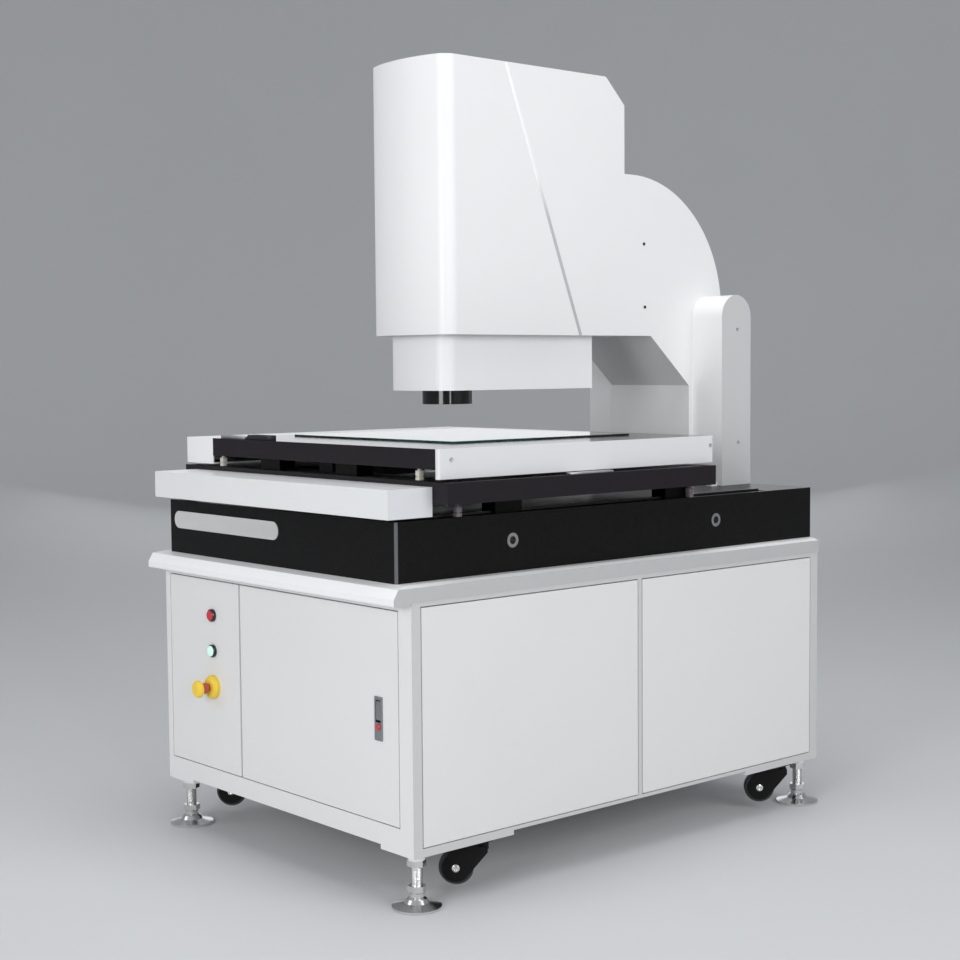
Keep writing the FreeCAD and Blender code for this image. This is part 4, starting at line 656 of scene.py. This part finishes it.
SWITCH_LEFT, SWITCH_RIGHT, SWITCH_IN = -0.342, 0.404, 0.012
DOG_ACROSS, DOG_FRONT, DOG_REAR = 0.434, -0.488, 0.232
block_grey = plastic("block_grey", (0.62, 0.62, 0.54), 0.45)
dog_grey = plastic("dog_grey", (0.17, 0.15, 0.165), 0.45)
switch = hanging_block("switch_block_left", Vector((SWITCH_LEFT, upper_low.y + SWITCH_IN, upper_low.z)),
                       Vector((0.0125, 0.0125, 0.0245)), 0.18)
other_switch = copied(switch, "switch_block_right", move=(SWITCH_RIGHT - SWITCH_LEFT, 0, 0))
for block in (switch, other_switch):
    place_piece(block, block_grey, "upper_stage")
dog = hanging_block("travel_dog_front", Vector((DOG_ACROSS, DOG_FRONT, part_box("lower_stage")[0].z)),
                    Vector((0.0135, 0.0135, 0.032)), 0.34)
other_dog = copied(dog, "travel_dog_rear", move=(0, DOG_REAR - DOG_FRONT, 0))
for block in (dog, other_dog):
    place_piece(block, dog_grey, "lower_stage")

# %% [markdown]
# A flat T-shaped plate lies on the lower stage's right edge, just low enough for the white side bar to pass
# over it. It begins as the bar of the T, is cut across twice, and the middle of its inner face is pulled
# inwards to make the stem.

# %% Plate on the stage's edge
T_PLATE_TOP, STAGE_TOP = 0.8835, 0.879
BAR_IN, BAR_OUT, BAR_FRONT, BAR_REAR = 0.484, 0.4985, -0.2215, -0.089
STEM_IN, STEM_FRONT, STEM_REAR = 0.470, -0.180, -0.124
bar_low, bar_high = Vector((BAR_IN, BAR_FRONT, STAGE_TOP)), Vector((BAR_OUT, BAR_REAR, T_PLATE_TOP))
t_plate = start_cube("edge_plate", (bar_low + bar_high) / 2, bar_high - bar_low)
bpy.ops.object.mode_set(mode="EDIT")
for along in (STEM_FRONT, STEM_REAR):
    bpy.ops.mesh.select_all(action="SELECT")
    bpy.ops.mesh.bisect(plane_co=(0, along, 0), plane_no=(0, 1, 0))
pick_faces(t_plate, lambda face: face.normal.x < -0.9 and STEM_FRONT < face.center.y < STEM_REAR)
bpy.ops.mesh.extrude_region_move(TRANSFORM_OT_translate={"value": (STEM_IN - BAR_IN, 0, 0)})
soften(t_plate, 0.0006)
place_piece(t_plate, machined, "lower_stage")

# %% [markdown]
# Along the front edge of the upper plate lie a light stop strip and a black clamp bar, against which a
# workpiece is squared before it goes on the glass. Both begin as cubes. The tops are inset and sunk, and
# the clamp bar loses an edge at its left end, where a slanting plane cuts it off.

# %% Stop strip and clamp bar
STRIP_LEFT, STRIP_RIGHT, STRIP_DEPTH, STRIP_HEIGHT = -0.350, -0.246, 0.014, 0.0075
CLAMP_LEFT, CLAMP_RIGHT, CLAMP_DEPTH, CLAMP_HEIGHT = -0.240, -0.150, 0.024, 0.011
REST_FRONT, REST_UNDER = -0.566, upper_high.z


def flat_bar(name, left, right, depth, height):
    low, high = Vector((left, REST_FRONT, REST_UNDER)), Vector((right, REST_FRONT + depth, REST_UNDER + height))
    return start_cube(name, (low + high) / 2, high - low)


stop_strip = flat_bar("stop_strip", STRIP_LEFT, STRIP_RIGHT, STRIP_DEPTH, STRIP_HEIGHT)
pick_faces(stop_strip, facing((0, 0, 1)))
sink(0.003, 0.0015, (0, 0, 1))
soften(stop_strip, 0.0006)
place_piece(stop_strip, machined, "upper_stage")
clamp_bar = flat_bar("clamp_bar", CLAMP_LEFT, CLAMP_RIGHT, CLAMP_DEPTH, CLAMP_HEIGHT)
bpy.ops.object.mode_set(mode="EDIT")
bpy.ops.mesh.select_all(action="SELECT")
bpy.ops.mesh.bisect(plane_co=(CLAMP_LEFT, 0, REST_UNDER + 0.003), plane_no=(-1, 0, 1.2),
                    clear_outer=True, use_fill=True)
pick_faces(clamp_bar, facing((0, 0, 1)))
sink(0.004, 0.002, (0, 0, 1))
soften(clamp_bar, 0.0006)
place_piece(clamp_bar, satin_black, "upper_stage")

# %% [markdown]
# A small white block is screwed to the granite beside the right post. Its top is inset and raised a little,
# as on a moulded clip.

# %% White block by the post
BLOCK_LOW, BLOCK_HIGH = Vector((0.222, 0.530, granite_high.z)), Vector((0.243, 0.552, granite_high.z + 0.011))
post_block = start_cube("post_block", (BLOCK_LOW + BLOCK_HIGH) / 2, BLOCK_HIGH - BLOCK_LOW)
pick_faces(post_block, facing((0, 0, 1)))
sink(0.003, -0.0015, (0, 0, 1))
soften(post_block, 0.001)
place_piece(post_block, white_coat, "base")

# %% [markdown]
# Each caster's wheel turns on a bolt, and its bright round head shows on both sides of the black fork. The
# head starts as a washer. Its face is inset and pulled out, and a second inset makes the sunk middle.
# The four casters stand at the same slant, so one pair of heads is copied to the other three.

# %% Axle bolts
HEAD_RADIUS, HEAD_HEIGHT, WASHER_HEIGHT, FORK_HALF = 0.0085, 0.0042, 0.0014, 0.018
wheel_low, wheel_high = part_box("caster_wheel_front_right")
first_axle = (wheel_low + wheel_high) / 2
axle_way = Vector((1, -1, 0)).normalized()
bolt_heads = []
for outward, word in ((axle_way, "outer"), (-axle_way, "inner")):
    centre = first_axle + outward * (FORK_HALF + WASHER_HEIGHT / 2)
    head = start_rod(f"axle_bolt_front_right_{word}", centre, HEAD_RADIUS, WASHER_HEIGHT, outward, 24)
    pick_faces(head, facing(outward))
    sink(0.0022, WASHER_HEIGHT - HEAD_HEIGHT, outward)
    sink(0.0028, 0.0005, outward)
    soften(head, 0.0005)
    bolt_heads.append((head, word))
for corner in ("front_left", "rear_right", "rear_left"):
    low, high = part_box(f"caster_wheel_{corner}")
    for head, word in bolt_heads:
        other = copied(head, f"axle_bolt_{corner}_{word}", move=(low + high) / 2 - first_axle)
        place_piece(other, plated, f"caster_fork_{corner}")
for head, word in bolt_heads:
    place_piece(head, plated, "caster_fork_front_right")

# %% [markdown]
# The ring light has a ring of small white lamps on its underside. One lamp is a short rod with a small
# raised step on its end, and it is copied round the circle.

# %% Ring lamps
LAMPS, LAMP_CIRCLE, LAMP_RADIUS, LAMP_DEPTH, LAMP_IN = 32, 0.0505, 0.0028, 0.002, 0.0006
ring_low, ring_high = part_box("ring_light")
lens_axis = (ring_low + ring_high) / 2
lamp_white = plastic("lamp_white", (0.85, 0.87, 0.84), 0.2)
first_lamp = start_rod("ring_lamp_0", (lens_axis.x + LAMP_CIRCLE, lens_axis.y, ring_low.z + LAMP_IN),
                       LAMP_RADIUS, LAMP_DEPTH, (0, 0, -1), 12)
pick_faces(first_lamp, facing((0, 0, -1)))
sink(0.0008, -0.0004, (0, 0, -1))
soften(first_lamp, 0.0003, 1)
about = Matrix.Translation((lens_axis.x, lens_axis.y, 0))
for index in range(1, LAMPS):
    turn = about @ Matrix.Rotation(2 * math.pi * index / LAMPS, 4, "Z") @ about.inverted()
    place_piece(copied(first_lamp, f"ring_lamp_{index}", turn), lamp_white, "z_slide")
place_piece(first_lamp, lamp_white, "z_slide")

# %% [markdown]
# The floor and the surroundings are one pale bowl, so that no horizon cuts the picture from any side. A
# filled circle has its rim pulled up and the corner rounded by a wide bevel.

# %% Floor
FLOOR_REACH, FLOOR_DROP, WALL_HEIGHT, CORNER_BEVEL = 9.0, 0.0005, 7, 2.5
bpy.ops.object.select_all(action="DESELECT")
bpy.ops.mesh.primitive_circle_add(vertices=96, radius=FLOOR_REACH, fill_type="NGON", location=(0, 0, -FLOOR_DROP))
floor = bpy.context.object
floor.name = "studio_floor"
bpy.ops.object.mode_set(mode="EDIT")
bpy.ops.mesh.select_mode(type="EDGE")
bpy.ops.mesh.select_all(action="SELECT")
bpy.ops.mesh.region_to_loop()
bpy.ops.mesh.extrude_edges_move(TRANSFORM_OT_translate={"value": (0, 0, WALL_HEIGHT)})
pick_edges(floor, lambda start, end: max(abs(start.z), abs(end.z)) < 0.01)
bpy.ops.mesh.bevel(offset=CORNER_BEVEL, segments=12)
bpy.ops.object.mode_set(mode="OBJECT")
bpy.ops.object.shade_smooth_by_angle(angle=math.radians(30))
paper = Finish("studio_paper", Specular_IOR_Level=0.2)
paper.surface(Base_Color=paper.blend(paper.noise(1.5), shade(0.62, 0.63, 0.64), shade(0.60, 0.61, 0.62)),
              Roughness=paper.noise(4.0) * 0.1 + 0.7)
floor.data.materials.append(paper.material)
print("floor", len(floor.data.polygons), "faces")
